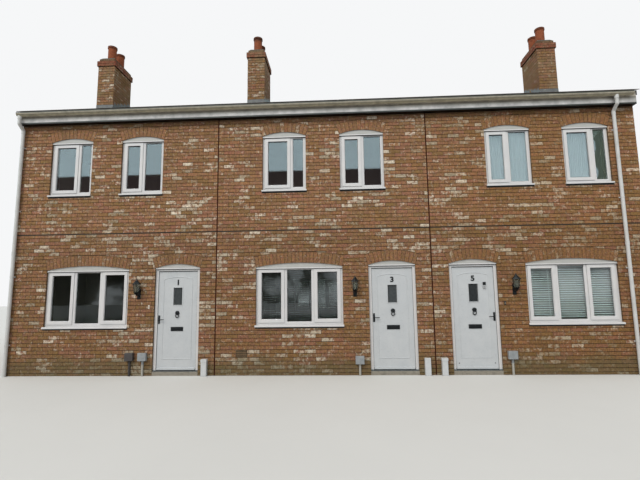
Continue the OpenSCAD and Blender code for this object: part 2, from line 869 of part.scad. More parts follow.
// Barrel with a wing that lies on face_y; edges run from the wing's far end to
// its end at the barrel, measured from the pivot away from the door's middle
module knuckle(side, z, face_y, edges) {
    wing_t = 6;
    web_t = 6;
    web = [edges[1], edges[1] + web_t * sign(edges[0])];
    function across(e) = [side * pivot_x + min(side * e), side * pivot_x + max(side * e)];
    block(across(edges), [face_y, face_y + wing_t], z);
    block(across(web), [face_y, pivot_y], z);
    translate([side * pivot_x, pivot_y, z[0]]) cylinder(r = 8, h = z[1] - z[0], $fn = ROUND_FN);
}

// The fixed halves, on the jambs
module door_hinges() {
    fixed_h = 30;
    z_near = barrel_half + barrel_gap;
    color(IRON) for (i = [0:2], hinge_z = HINGES_Z, z = [z_near, -z_near - fixed_h])
        translate([DOORS_X[i], 0, hinge_z]) knuckle(HINGE_SIDE[i], [z, z + fixed_h], frame_back, [44, 2]);
}

// Plate and lever of a door handle on face_y; out is -1 outside and 1 inside
module handle(latch, face_y, out) {
    plate = [36, 8, 170];
    lever_l = 110;
    lever_r = 8;
    lever_out = 42;
    translate([latch * (leaf_half - 40), face_y, handle_z]) {
        translate([0, out * plate[1] / 2, 0]) cube(plate, center = true);
        rotate([-90 * out, 0, 0]) cylinder(r = lever_r, h = lever_out, $fn = ROUND_FN);
        translate([0, out * lever_out, 0]) rotate([0, -90 * latch, 0])
            cylinder(r = lever_r, h = lever_l, $fn = ROUND_FN);
    }
}

// Letter plates, knocker, handles on both faces, and the hinges' moving halves
module furniture(i) {
    plate_t = 8;
    letter = [255, 84];
    flap = [295, 110];
    knocker_r = 42;
    leaf_back = leaf_y + leaf_depth;
    module plate(size, y) {
        block([-size[0] / 2, size[0] / 2], y, [letter_z - size[1] / 2, letter_z + size[1] / 2]);
    }
    color(IRON) translate([DOORS_X[i], 0, 0]) {
        plate(letter, [leaf_y - plate_t, leaf_y]);
        plate(flap, [leaf_back, leaf_back + plate_t]);
        translate([0, leaf_y, knocker_z]) rotate([90, 0, 0])
            cylinder(r = knocker_r, h = 2 * plate_t, $fn = ROUND_FN);
        handle(-HINGE_SIDE[i], leaf_y, -1);
        handle(-HINGE_SIDE[i], leaf_back, 1);
        for (z = HINGES_Z) knuckle(HINGE_SIDE[i], [z - barrel_half, z + barrel_half], leaf_back, [-50, -2]);
    }
}

module door_leaf_1() { leaf(0); }
module door_leaf_3() { leaf(1); }
module door_leaf_5() { leaf(2); }
module door_light_1() { door_light(0); }
module door_light_3() { door_light(1); }
module door_light_5() { door_light(2); }
module door_furniture_1() { furniture(0); }
module door_furniture_3() { furniture(1); }
module door_furniture_5() { furniture(2); }

// Iron lanterns beside the doors: backplate, arm, six-sided body and hat
LANTERNS_X = [-3789, 646, 3775];
lantern_z = 1680;
lantern_out = 120;
module wall_lanterns() {
    plate = [80, 16, 230];
    color(IRON) for (x = LANTERNS_X) translate([x, 0, lantern_z]) {
        block([-plate[0] / 2, plate[0] / 2], [-plate[1], 0], [70 - plate[2], 70]);
        block([-10, 10], [-lantern_out, EPS - plate[1]], [-40, -16]);
        translate([0, -lantern_out, -30]) cylinder(r1 = 50, r2 = 74, h = 182, $fn = 6);
        translate([0, -lantern_out, 150]) cylinder(r1 = 95, r2 = 14, h = 120, $fn = 6);
    }
}

// Meter and valve boxes low on the front, as [x, height of the middle]
SERVICE_BOXES = [[-3918, 379], [-3650, 377], [711, 298], [3642, 378]];
box_size = [165, 80, 150];
tail_r = 22;
module service_boxes() {
    color("#8f9499") for (b = SERVICE_BOXES) translate([b[0], 0, b[1]]) {
        block([-box_size[0] / 2, box_size[0] / 2], [-box_size[1], 0], [-box_size[2] / 2, box_size[2] / 2]);
        translate([0, -tail_r - EPS, -b[1]]) cylinder(r = tail_r, h = b[1] - box_size[2] / 2 + EPS, $fn = 32);
    }
}

// Short boxed-in pipe ends that stand against the wall beside the doors
STUBS_X = [-2383, 2019, 2343];
stub_size = [110, 90, 330];
module pipe_stubs() {
    color(PLASTIC) for (x = STUBS_X)
        block([x - stub_size[0] / 2, x + stub_size[0] / 2], [-stub_size[1], 0], [0, stub_size[2]]);
}

front_wall_1_bay();
front_wall_3_bay();
front_wall_5_bay();
front_door_piers();
front_door_heads();
front_wall_1_upper();
front_wall_3_upper();
front_wall_5_upper();
rear_wall_ground();
rear_wall_upper();
left_end_wall();
right_end_wall();
party_walls();
movement_joints();
ground_floor();
first_floor();
upper_ceiling();
door_steps();
roof_front();
roof_rear();
roof_ridge();
front_eaves_boards();
rear_eaves_boards();
front_gutter();
rear_gutter();
downpipes();
chimney_stack_1();
chimney_stack_3();
chimney_stack_5();
chimney_pots();
chimney_flaunchings();
chimney_flashings();
front_window_frames();
front_casements();
front_glass();
front_cills();
front_head_panels();
rear_window_frames();
rear_casements();
rear_glass();
rear_cills();
rear_head_panels();
window_blinds();
door_frame_jambs();
door_frame_heads();
door_thresholds();
door_hinges();
door_leaf_1();
door_leaf_3();
door_leaf_5();
door_light_1();
door_light_3();
door_light_5();
door_furniture_1();
door_furniture_3();
door_furniture_5();
wall_lanterns();
service_boxes();
pipe_stubs();
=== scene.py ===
"""Looks of a brick row of three terraced houses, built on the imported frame, in metres."""
import math
import random
import bpy
import bmesh
from mathutils import Matrix, Vector, noise


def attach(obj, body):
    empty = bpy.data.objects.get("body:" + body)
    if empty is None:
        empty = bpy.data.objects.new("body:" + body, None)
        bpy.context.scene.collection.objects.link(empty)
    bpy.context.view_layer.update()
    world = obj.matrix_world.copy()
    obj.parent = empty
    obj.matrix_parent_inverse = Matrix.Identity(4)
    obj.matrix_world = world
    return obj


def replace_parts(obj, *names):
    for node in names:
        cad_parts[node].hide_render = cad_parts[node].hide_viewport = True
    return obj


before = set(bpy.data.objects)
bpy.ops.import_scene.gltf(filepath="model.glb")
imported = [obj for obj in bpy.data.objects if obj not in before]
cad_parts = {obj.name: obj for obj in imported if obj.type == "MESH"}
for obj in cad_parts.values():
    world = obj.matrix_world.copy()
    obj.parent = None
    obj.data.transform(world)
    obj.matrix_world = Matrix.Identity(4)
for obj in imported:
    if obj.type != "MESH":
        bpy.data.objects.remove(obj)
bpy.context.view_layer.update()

# --- Camera: at eye height before the middle of the row, 8.4 m from its face, looking a little
# up and to the left. The lens takes in the whole front, with the stacks over it ---
yaw, pitch, roll = math.radians(-2.88), math.radians(7.238), math.radians(-0.736)
ahead = Vector((math.sin(yaw) * math.cos(pitch), math.cos(yaw) * math.cos(pitch), math.sin(pitch)))
level = Vector((math.cos(yaw), -math.sin(yaw), 0))
over = level.cross(ahead)
camera = bpy.data.objects.new("camera", bpy.data.cameras.new("camera"))
bpy.context.scene.collection.objects.link(camera)
camera.matrix_world = Matrix.Translation((0.3797, -8.4181, 1.612)) @ Matrix((
    level * math.cos(roll) + over * math.sin(roll),
    over * math.cos(roll) - level * math.sin(roll),
    -ahead)).transposed().to_4x4()
camera.data.lens = 23.35
camera.data.sensor_width = 36
camera.data.clip_end = 200
bpy.context.scene.camera = camera


# --- Studio: pale floor, white surroundings and one broad soft lamp from the upper left.
# Glass mirrors tones of its own, a pale sky over darker bands, so that it reads as glass ---
def linear(colour):
    """Linear RGBA of an sRGB hex colour."""
    parts = [int(colour[i:i + 2], 16) / 255 for i in (1, 3, 5)]
    return (*[c / 12.92 if c <= 0.04045 else ((c + 0.055) / 1.055) ** 2.4 for c in parts], 1)


def feed(tree, node, inputs):
    """Sets a node's inputs, each to a value, or to the socket or the node that feeds it."""
    for key, value in inputs.items():
        if isinstance(value, bpy.types.Node):
            value = value.outputs[2 if value.bl_idname == "ShaderNodeMix" else 0]
        if isinstance(value, bpy.types.NodeSocket):
            tree.links.new(value, node.inputs[key])
        else:
            node.inputs[key].default_value = value


def add(tree, kind, inputs=None, stops=None, **settings):
    """Adds a shader node. A ramp takes its first and last stop before those between."""
    node = tree.nodes.new("ShaderNode" + kind)
    for key, value in settings.items():
        setattr(node, key, value)
    feed(tree, node, inputs or {})
    for i, (place, colour) in enumerate(stops or []):
        ramp = node.color_ramp.elements
        stop = ramp[i] if i < 2 else ramp.new(place)
        stop.position, stop.color = place, linear(colour)
    return node


world = bpy.data.worlds.new("studio")
bpy.context.scene.world = world
world.use_nodes = True
world.node_tree.nodes.clear()
sky = world.node_tree
rays = add(sky, "LightPath")
way = add(sky, "TexCoord").outputs["Generated"]
axes = add(sky, "SeparateXYZ", {0: way}).outputs
depth = add(sky, "Math", {0: axes["Y"]}, operation="ABSOLUTE")
depth = add(sky, "Math", {0: depth, 1: 0.05}, operation="MAXIMUM")
height = add(sky, "Math", {0: axes["Z"], 1: depth}, operation="DIVIDE")
side = add(sky, "Math", {0: axes["X"], 1: depth}, operation="DIVIDE")
shapes = add(sky, "TexNoise", {"Vector": way, "Scale": 13, "Detail": 4, "Roughness": 0.55})
steep = add(sky, "Math", {0: side, 1: 2.1}, operation="MULTIPLY")
steep = add(sky, "Math", {0: side, 1: steep}, operation="MINIMUM")
darker = add(sky, "Math", {0: steep, 1: 0.16, 2: shapes}, operation="MULTIPLY_ADD")
low = add(sky, "ValToRGB", {0: darker}, stops=[
    (0.34, "#1c1d1a"), (0.62, "#93979a"), (0.4, "#363835"), (0.46, "#6a6f70")])
# From low to high, glass mirrors grey, a dark band and the sky. The sky starts lower on the
# right, and far to the right it is dull
open_side = add(sky, "Math", {0: side, 1: 0.27}, operation="GREATER_THAN")
clear = add(sky, "Math", {0: open_side, 1: 0.1, 2: height}, operation="MULTIPLY_ADD")
mirror = add(sky, "ValToRGB", {0: clear}, stops=[
    (0.205, "#83898a"), (0.304, "#bfd6de"), (0.212, "#4a4141"), (0.302, "#3d3636")])
dull = add(sky, "Math", {0: shapes, 1: 0.08, 2: side}, operation="MULTIPLY_ADD")
dull = add(sky, "Math", {0: dull, 1: 0.655}, operation="GREATER_THAN")
mirror = add(sky, "Mix", {0: dull, 6: mirror, 7: linear("#68766b")}, data_type="RGBA")
near = add(sky, "Math", {0: height, 1: 0.16}, operation="LESS_THAN")
mirror = add(sky, "Mix", {0: near, 6: mirror, 7: low}, data_type="RGBA")
mirrored = add(sky, "Background", {"Color": mirror, "Strength": 3.05})
seen = add(sky, "Background", {"Color": linear("#f6f7f8"), "Strength": 1})
around = add(sky, "Background", {"Color": linear("#f4f7fb"), "Strength": 0.74})
lit = add(sky, "MixShader", {0: rays.outputs["Is Glossy Ray"], 1: around, 2: mirrored})
lit = add(sky, "MixShader", {0: rays.outputs["Is Camera Ray"], 1: lit, 2: seen})
add(sky, "OutputWorld", {"Surface": lit})

lamp = bpy.data.objects.new("lamp", bpy.data.lights.new("lamp", "SUN"))
bpy.context.scene.collection.objects.link(lamp)
lamp.matrix_world = Vector((-0.45, -0.85, 1.0)).to_track_quat("Z", "Y").to_matrix().to_4x4()
lamp.data.energy = 1.9
lamp.data.angle = math.radians(35)
lamp.data.color = linear("#fffaf2")[:3]
bpy.context.scene.view_settings.view_transform = "Standard"


def piece(name, bm, material, body="root"):
    """Turns a bmesh into an object of one material that rides on a body."""
    mesh = bpy.data.meshes.new(name)
    bm.to_mesh(mesh)
    bm.free()
    obj = bpy.data.objects.new(name, mesh)
    bpy.context.scene.collection.objects.link(obj)
    mesh.materials.append(material)
    if body:
        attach(obj, body)
    return obj


def finish(name, build):
    """A material whose Principled shader build(tree, shader) wires up."""
    made = bpy.data.materials.new(name)
    made.use_nodes = True
    build(made.node_tree, made.node_tree.nodes["Principled BSDF"])
    return made


def mottled(colours, scale, roughness, bump=0.0, bump_scale=300, metallic=0.0, specular=0.5, underside_shade=None):
    """A finish that drifts between colours in patches, with a fine grain that is bump metres deep, and painted
    shade, in the colour given for it, on faces that look down. A scale of 10 gives patches 100 mm wide.
    The grain is drawn 3 mm wide where the real one is finer, so that it shows."""
    def build(tree, shader):
        place = add(tree, "TexCoord").outputs["Object"]
        patches = add(tree, "TexNoise", {"Vector": place, "Scale": scale, "Detail": 6, "Roughness": 0.6})
        spread = [(0.3 + 0.4 * i / max(len(colours) - 1, 1), c) for i, c in enumerate(colours)]
        colour = add(tree, "ValToRGB", {0: patches}, stops=spread)
        # Faces that look down get painted shade
        if underside_shade:
            facing = add(tree, "SeparateXYZ", {0: add(tree, "NewGeometry").outputs["Normal"]}).outputs["Z"]
            below = add(tree, "MapRange", {"Value": facing, "From Min": -0.35, "From Max": -0.8})
            colour = add(tree, "Mix", {0: below, 6: colour, 7: linear(underside_shade)}, data_type="RGBA")
        grain = add(tree, "TexNoise", {"Vector": place, "Scale": bump_scale, "Detail": 4})
        rough = add(tree, "MapRange", {"Value": grain, "From Min": 0.3, "From Max": 0.7,
                                       "To Min": roughness * 0.88, "To Max": min(roughness * 1.1, 1)})
        relief = add(tree, "Bump", {"Height": grain, "Distance": bump, "Strength": 1 if bump else 0})
        feed(tree, shader, {"Base Color": colour, "Roughness": rough, "Normal": relief,
                            "Metallic": metallic, "Specular IOR Level": specular})
    return build


def pale_floor(tree, shader):
    """Matt and pale to the eye. Glass mirrors it dark before the row, and paler far off and behind."""
    mottled(["#cfcfcc", "#d3d3d0"], 0.3, 0.9, specular=0.1)(tree, shader)
    tone = shader.inputs["Base Color"].links[0].from_socket
    mirrored = add(tree, "LightPath").outputs["Is Glossy Ray"]
    away = add(tree, "SeparateXYZ", {0: add(tree, "TexCoord").outputs["Object"]}).outputs
    left = add(tree, "MapRange", {"Value": away["X"], "From Min": -14.0, "From Max": -5.0, "To Min": 0.25})
    far = add(tree, "MapRange", {"Value": away["Y"], "From Min": -20.0, "From Max": -26.0, "To Max": left})
    ground = add(tree, "Mix", {0: far, 6: linear("#373a36"), 7: linear("#9c9fa0")}, data_type="RGBA")
    behind = add(tree, "MapRange", {"Value": away["Y"], "From Min": 7.0, "From Max": 13.0, "To Max": 0.85})
    ground = add(tree, "Mix", {0: behind, 6: ground, 7: linear("#9a9f9e")}, data_type="RGBA")
    seen = add(tree, "Mix", {0: mirrored, 6: tone, 7: ground}, data_type="RGBA")
    feed(tree, shader, {"Base Color": seen})


bm = bmesh.new()
bmesh.ops.create_grid(bm, x_segments=1, y_segments=1, size=60, matrix=Matrix.Translation((0, 0, -0.001)))
floor = piece("floor", bm, finish("pale floor", pale_floor), body=None)


# --- Brickwork: pressed bricks of 215 x 65 mm in stretcher bond, laid in 10 mm joints.
# Each face is a slip with worn edges that stands about 5 mm out of the raked mortar, and
# each opening carries an arch of bricks on end whose joints point at the arch's centre ---

# A brick with its joint, a course with its joint, half a joint, and the level of the first bed
BRICK, COURSE, JOINT, BED = 0.225, 0.075, 0.005, -0.025
# The row's ends and back, the underside of the eaves, and the joint between the storeys
LEFT, RIGHT, BACK, SOFFIT, STOREY = -6.550, 6.400, 7.300, 5.320, 2.900


def join(bm, single):
    """Adds one bmesh to another and frees it."""
    part = bpy.data.meshes.new("part")
    single.to_mesh(part)
    single.free()
    bm.from_mesh(part)
    bpy.data.meshes.remove(part)


def cut(bm, place, normal, faces):
    """Cuts some faces along a plane and keeps both sides."""
    geom = list({g for f in faces for g in (f, *f.edges, *f.verts)})
    if geom:
        bmesh.ops.bisect_plane(bm, geom=geom, dist=1e-6, plane_co=place, plane_no=normal)


def drop(bm, faces):
    """Takes faces out, with the edges and corners that are theirs alone."""
    if faces:
        bmesh.ops.delete(bm, geom=faces, context="FACES")


def snap(bm, edge, side, low, high):
    """Takes up a sliver of brick beside an upright edge in its neighbour."""
    for v in bm.verts:
        if 0 < (v.co.x - edge) * side < 0.055 and low - 1e-4 < v.co.y < high + 1e-4:
            v.co.x = edge
    drop(bm, [f for f in bm.faces if f.calc_area() < 1e-6])


def bond(bm, u, v, phase=0, brick=BRICK, course=COURSE, bed=BED):
    """Brick cells from u[0] to u[1] and from v[0] to v[1], a half brick out in every other course."""
    left, right = u[0] - JOINT, u[1] + JOINT
    for k in range(math.floor((v[0] - bed) / course + 1e-6), math.ceil((v[1] - bed) / course - 1e-6)):
        start = left - (k + phase) % 2 * brick / 2
        n = math.ceil((right - start) / brick - 1e-6)
        place = Matrix.Translation((start + n * brick / 2, bed + (k + 0.5) * course, 0))
        bmesh.ops.create_grid(bm, x_segments=n, y_segments=1, size=0.5,
                              matrix=place @ Matrix.Diagonal((n * brick, course, 1, 1)))
    bmesh.ops.split_edges(bm, edges=bm.edges[:])
    cut(bm, (left, 0, 0), (1, 0, 0), bm.faces)
    cut(bm, (right, 0, 0), (1, 0, 0), bm.faces)
    cut(bm, (0, v[0], 0), (0, 1, 0), bm.faces)
    cut(bm, (0, v[1], 0), (0, 1, 0), bm.faces)
    middles = [(f, f.calc_center_median()) for f in bm.faces]
    drop(bm, [f for f, c in middles if not (left < c.x < right and v[0] < c.y < v[1])])
    snap(bm, right, -1, v[0], v[1])
    snap(bm, left, 1, v[0], v[1])


def arch(bm, x, width, low, spring):
    """Cuts an arched opening that rises 80 mm out of the cells and stands bricks on end over it."""
    rise, deep = 0.080, 0.215
    half = width / 2 - JOINT
    top = BED + COURSE * round((spring - BED) / COURSE)
    r = (width * width / 4 + rise * rise) / (2 * rise)
    zc, ring = spring + rise - r, r + deep + JOINT
    lean = math.asin(width / 2 / r)

    def middle(f):
        c = f.calc_center_median()
        return c, Vector((c.x - x, c.y - zc))

    def faces(test):
        return [f for f in bm.faces if abs(f.calc_center_median().x - x) < half + 0.4 and test(*middle(f))]
    for side in (-1, 1):
        cut(bm, (x + side * half, 0, 0), (1, 0, 0), faces(lambda c, d: low < c.y < top))
    drop(bm, faces(lambda c, d: low < c.y < top and abs(c.x - x) < half))
    for side in (-1, 1):
        for v in bm.verts:
            if 0 < (v.co.x - x - side * half) * side < 0.055 and low - 1e-4 < v.co.y < top + 1e-4:
                v.co.x = x + side * half
    drop(bm, [f for f in bm.faces if f.calc_area() < 1e-6])
    for side in (-1, 1):
        normal = Vector((side * math.cos(lean), -math.sin(lean), 0))
        foot = Vector((x + side * width / 2, spring, 0))
        beside = faces(lambda c, d: c.y > top and d.length < ring and abs((c - foot).dot(normal)) < 0.12)
        cut(bm, foot, normal, beside)
    above = faces(lambda c, d: c.y > top and abs(d.length - ring) < 0.12
                  and abs(math.atan2(d.x, d.y)) < lean + 0.01)
    for f in above:
        d = middle(f)[1].normalized()
        cut(bm, Vector((x, zc, 0)) + Vector((d.x, d.y, 0)) * ring, (d.x, d.y, 0), [f])
    drop(bm, faces(lambda c, d: c.y > top and d.length < ring - 1e-4
                   and abs(math.atan2(d.x, d.y)) < lean))
    n = round(2 * lean * r / COURSE)
    grid = bmesh.ops.create_grid(bm, x_segments=n, y_segments=1, size=0.5)["verts"]
    ends = {f for v in grid for f in v.link_faces}
    for v in grid:
        turn, out = 2 * lean * v.co.x, r - JOINT + (deep + 2 * JOINT) * (v.co.y + 0.5)
        v.co = (x + out * math.sin(turn), zc + out * math.cos(turn), 0)
    bmesh.ops.split_edges(bm, edges=list({e for f in ends for e in f.edges}))


def slips(name, panels, seed, material, proud=0.0055, red=(0, 0)):
    """Joins panels of brick cells, each (cells, matrix), into one piece of worn slips.
    Bricks on end are darker, those between the two red levels are red, and those above are sooty."""
    rnd = random.Random(seed)
    whole = bmesh.new()
    # The tone picks a brick's clay, the shade its darkness, and pale how much lime lies on it
    for mark in ("tone", "shade", "pale"):
        whole.faces.layers.float.new(mark)
    for bm, place in panels:
        drop(bm, [f for f in bm.faces
                  if f.calc_area() < max(0.0012, 0.014 * max(e.calc_length() for e in f.edges))])
        tone, shade, pale = (bm.faces.layers.float.new(n) for n in ("tone", "shade", "pale"))
        cells = bm.faces[:]
        fresh = set(cells)
        bmesh.ops.inset_individual(bm, faces=cells, thickness=JOINT, depth=0, use_even_offset=True)
        drop(bm, [f for f in bm.faces if f not in fresh])
        for f in bm.faces:
            c = place @ f.calc_center_median()
            drift = noise.noise(Vector((c.x * 0.9, c.y * 0.9, c.z * 2.2 + seed)))
            pick = rnd.random() + 0.16 * drift
            on_end = max(v.co.y for v in f.verts) - min(v.co.y for v in f.verts) > 0.12
            f[tone] = min(max(pick, 0), 1) * 0.8
            f[shade] = rnd.uniform(0, 1)
            # Lime lies in drifts, and more of it below the joint between the storeys
            limed = 0.2 + 0.5 * noise.noise(Vector((c.x * 1.3, c.y * 1.3, c.z * 1.9 - seed)))
            limed += 0.1 if 2.35 < c.z < STOREY else 0
            f[pale] = rnd.uniform(0.5, 1) if rnd.random() < limed else rnd.uniform(0, 0.35)
            if c.z > 6.6:
                f[pale] *= 0.78
            if on_end or red[0] < c.z < red[1]:
                f[tone] = 0.05 + 0.75 * rnd.random() if on_end else 1.2 + 0.15 * rnd.random()
                f[pale] *= 0.55
                f[shade] = 0.28 + 0.2 * f[shade] if on_end else 0.45 * f[shade]
            if c.z > red[1] > 0:
                f[tone], f[pale], f[shade] = -0.25 + 0.2 * rnd.random(), 0, 0
            out, tilt = rnd.uniform(-0.0007, 0.0005), rnd.uniform(-0.0004, 0.0004)
            for v in f.verts:
                v.co.z += proud + out + tilt * (1 if v.co.x > f.calc_center_median().x else -1)
        bmesh.ops.solidify(bm, geom=bm.faces[:], thickness=proud + 0.001)
        bm.normal_update()
        rim = [e for e in bm.edges if all(v.co.z > 0.0015 for v in e.verts)]
        bmesh.ops.bevel(bm, geom=rim, offset=0.002, offset_type="OFFSET", segments=1,
                        profile=0.5, affect="EDGES", material=-1)
        bmesh.ops.transform(bm, matrix=place, verts=bm.verts)
        join(whole, bm)
    return piece(name, whole, material)


def brick(tree, shader):
    """Pressed facing brick: dull, rough and unglazed, sandy brown to plum, with dark pits and lime bloom.
    The blotches are 90 mm wide, the veins 50 and the pits 30. Grit is really finer than 1 mm, and is
    drawn at 2.4 mm so that it shows."""
    place = add(tree, "TexCoord").outputs["Object"]
    x, y, z = add(tree, "SeparateXYZ", {0: place}).outputs
    tone, shade, pale = (add(tree, "Attribute", attribute_name=n).outputs["Fac"] for n in ("tone", "shade", "pale"))
    blotch = add(tree, "TexNoise", {"Vector": place, "Scale": 11, "Detail": 9, "Roughness": 0.74})
    pick = add(tree, "Math", {0: tone, 1: 0.62}, operation="MULTIPLY")
    pick = add(tree, "Math", {0: blotch, 1: 1.15, 2: pick}, operation="MULTIPLY_ADD")
    pick = add(tree, "Math", {0: pick, 1: 0.43}, operation="SUBTRACT")
    clay = add(tree, "ValToRGB", {0: pick}, stops=[
        (0.0, "#6b5644"), (1.0, "#8a4d39"), (0.12, "#7b634a"), (0.28, "#89704f"), (0.42, "#947355"),
        (0.55, "#9b7453"), (0.68, "#9b6d4e"), (0.8, "#96644a"), (0.9, "#8d5a45")])
    soil = add(tree, "TexNoise", {"Vector": place, "Scale": 2.2, "Detail": 7, "Roughness": 0.65})
    pinker = add(tree, "MapRange", {"Value": soil, "From Min": 0.42, "From Max": 0.62, "To Max": 0.38})
    clay = add(tree, "Mix", {0: pinker, 6: clay, 7: linear("#8f6252")}, data_type="RGBA")
    ochre = add(tree, "MapRange", {"Value": z, "From Min": 3.0, "From Max": 0.4, "To Max": 0.34})
    clay = add(tree, "Mix", {0: ochre, 6: clay, 7: linear("#89613a")}, data_type="RGBA")
    # Clay of other pits runs through each brick, plum to sand in colour
    veins = add(tree, "TexNoise", {"Vector": place, "Scale": 19, "Detail": 5, "Roughness": 0.7})
    other_clay = add(tree, "ValToRGB", {0: veins}, stops=[(0.38, "#7c524c"), (0.5, "#93694b"), (0.62, "#937339")])
    # The stacks' red band and sooty cap have a tone beyond those of the walls, and keep it
    usual = add(tree, "Math", {0: tone, 1: 0.4, 2: 0.44}, operation="COMPARE")
    veined = add(tree, "Math", {0: usual, 1: 0.48}, operation="MULTIPLY")
    clay = add(tree, "Mix", {0: veined, 6: clay, 7: other_clay}, data_type="RGBA")
    # The right-hand house is of a warmer batch
    batch = add(tree, "MapRange", {"Value": x, "From Min": 2.0, "From Max": 3.6, "To Max": 0.28})
    wall = add(tree, "Math", {0: z, 1: 6.0}, operation="LESS_THAN")
    batch = add(tree, "Math", {0: batch, 1: wall}, operation="MULTIPLY")
    clay = add(tree, "Mix", {0: batch, 6: clay, 7: linear("#8a5f2d")}, data_type="RGBA")
    # Some bricks are plum all over and some sandy
    for first, last, share, colour in ((0.72, 0.9, 0.4, "#7d5149"), (0.3, 0.12, 0.32, "#937541")):
        some = add(tree, "MapRange", {"Value": shade, "From Min": first, "From Max": last, "To Max": share})
        some = add(tree, "Math", {0: some, 1: usual}, operation="MULTIPLY")
        clay = add(tree, "Mix", {0: some, 6: clay, 7: linear(colour)}, data_type="RGBA")
    # Lime bloom lies in fuzzy smudges over some of the bricks
    smudge = add(tree, "TexNoise", {"Vector": place, "Scale": 13, "Detail": 7, "Roughness": 0.68})
    cover = add(tree, "Math", {0: pale, 1: 0.24, 2: smudge}, operation="MULTIPLY_ADD")
    cover = add(tree, "MapRange", {"Value": cover, "From Min": 0.595, "From Max": 0.76, "To Max": 0.86})
    lime = add(tree, "Mix", {0: shade, 6: linear("#aea18a"), 7: linear("#d5cbb7")}, data_type="RGBA")
    lime = add(tree, "Mix", {0: batch, 6: lime, 7: linear("#a98a5e")}, data_type="RGBA")
    bloomed = add(tree, "Mix", {0: cover, 6: clay, 7: lime}, data_type="RGBA")
    grit = add(tree, "TexNoise", {"Vector": place, "Scale": 420, "Detail": 5, "Roughness": 0.75})
    pits = add(tree, "TexNoise", {"Vector": place, "Scale": 34, "Detail": 4, "Roughness": 0.6})
    # Painted shade under the eaves darkens the top of the front and the back, and not the gables or the stacks
    outer = add(tree, "Math", {0: y, 1: BACK / 2, 2: BACK / 2 - 0.045}, operation="COMPARE")
    eaves = add(tree, "Math", {0: outer, 1: -10, 2: z}, operation="MULTIPLY_ADD")
    factor = add(tree, "MapRange", {"Value": shade, "To Min": 0.81, "To Max": 1.09})
    # Below 2.6 m the walls are drawn darker, partly a darker brick and partly painted shade
    for value, low, high, dark, light in (
            (grit, 0.33, 0.5, 0.74, 1.04), (pits, 0.36, 0.64, 0.74, 1.25),
            (soil, 0.3, 0.72, 0.86, 1.06), (x, 2.0, 3.6, 1.0, 0.955),
            (z, 2.6, 3.2, 0.87, 1.0), (eaves, 5.22, 5.16, 0.8, 1.0),
            (eaves, 5.32, 5.2, 0.6, 1.0), (z, 6.4, 6.1, 0.98, 1.0)):
        other = add(tree, "MapRange", {"Value": value, "From Min": low, "From Max": high,
                                       "To Min": dark, "To Max": light})
        factor = add(tree, "Math", {0: factor, 1: other}, operation="MULTIPLY")
    tinted = add(tree, "VectorMath", {0: bloomed, 3: factor}, operation="SCALE")
    # Moss greens the lowest courses and, in patches, the stacks
    rise = add(tree, "Math", {0: soil, 1: 0.9, 2: -0.28}, operation="MULTIPLY_ADD")
    rise = add(tree, "Math", {0: z, 1: rise}, operation="SUBTRACT")
    wet = add(tree, "MapRange", {"Value": rise, "From Min": 0.0, "From Max": 0.25, "To Min": 0.6, "To Max": 0.0})
    high_up = add(tree, "MapRange", {"Value": z, "From Min": 6.1, "From Max": 6.4, "To Max": 0.6})
    patch = add(tree, "MapRange", {"Value": soil, "From Min": 0.46, "From Max": 0.66})
    mossy = add(tree, "Math", {0: high_up, 1: patch, 2: wet}, operation="MULTIPLY_ADD")
    mossy = add(tree, "Math", {0: mossy, 1: 0.62}, operation="MINIMUM")
    moss = add(tree, "Mix", {0: high_up, 6: linear("#57533a"), 7: linear("#958866")}, data_type="RGBA")
    grown = add(tree, "Mix", {0: mossy, 6: tinted, 7: moss}, data_type="RGBA")
    relief = add(tree, "Bump", {"Height": grit, "Distance": 0.0009, "Strength": 0.8})
    creases = add(tree, "Bump", {"Height": blotch, "Distance": 0.004, "Strength": 0.5, "Normal": relief})
    feed(tree, shader, {"Base Color": grown, "Normal": creases, "Roughness": 0.92, "Specular IOR Level": 0.2})


clay = finish("facing brick", brick)
# Each house's two sides, and the middles of its ground window, its door and its upper windows
HOUSES = {1: (-6.550, -2.197), 3: (-2.173, 2.173), 5: (2.197, 6.400)}
BAYS = {1: -4.905, 3: -0.480, 5: 4.905}
DOORS = {1: -2.995, 3: 1.394, 5: 2.995}
UPPERS = {1: (-5.405, -3.840), 3: (-0.780, 0.848), 5: (3.840, 5.405)}
# The openings' widths, the courses that their jambs run between, and where their arches spring
BAY_W, UPPER_W, DOOR_W = 1.766, 0.915, 0.938
BAY_CILL, GROUND_HEAD, UPPER_CILL, UPPER_HEAD = 0.950, 2.150, 3.725, 4.925
BAY_SPRING, DOOR_SPRING, UPPER_SPRING = 2.146, 2.158, 4.930
# The roof's slope, and where the top of the tiles starts at the eaves
LEAN = math.radians(24)
PITCH = math.tan(LEAN)
EAVES_Y, EAVES_TOP = -0.200, 5.598


def facings(left, right, front, back, starts=(0, 0, 0, 0)):
    """Turns that lay flat brick cells on the four faces of a block, from each face's start."""
    return {
        "front": Matrix(((1, 0, 0, starts[0]), (0, 0, -1, front), (0, 1, 0, 0), (0, 0, 0, 1))),
        "back": Matrix(((-1, 0, 0, starts[1]), (0, 0, 1, back), (0, 1, 0, 0), (0, 0, 0, 1))),
        "left": Matrix(((0, 0, -1, left), (-1, 0, 0, starts[2]), (0, 1, 0, 0), (0, 0, 0, 1))),
        "right": Matrix(((0, 0, 1, right), (1, 0, 0, starts[3]), (0, 1, 0, 0), (0, 0, 0, 1))),
    }


FACING = facings(LEFT, RIGHT, 0, BACK)


def roof_at(y):
    """Height of the roof's top face at a place between front and back."""
    return EAVES_TOP + (min(y, BACK - y) - EAVES_Y) * PITCH


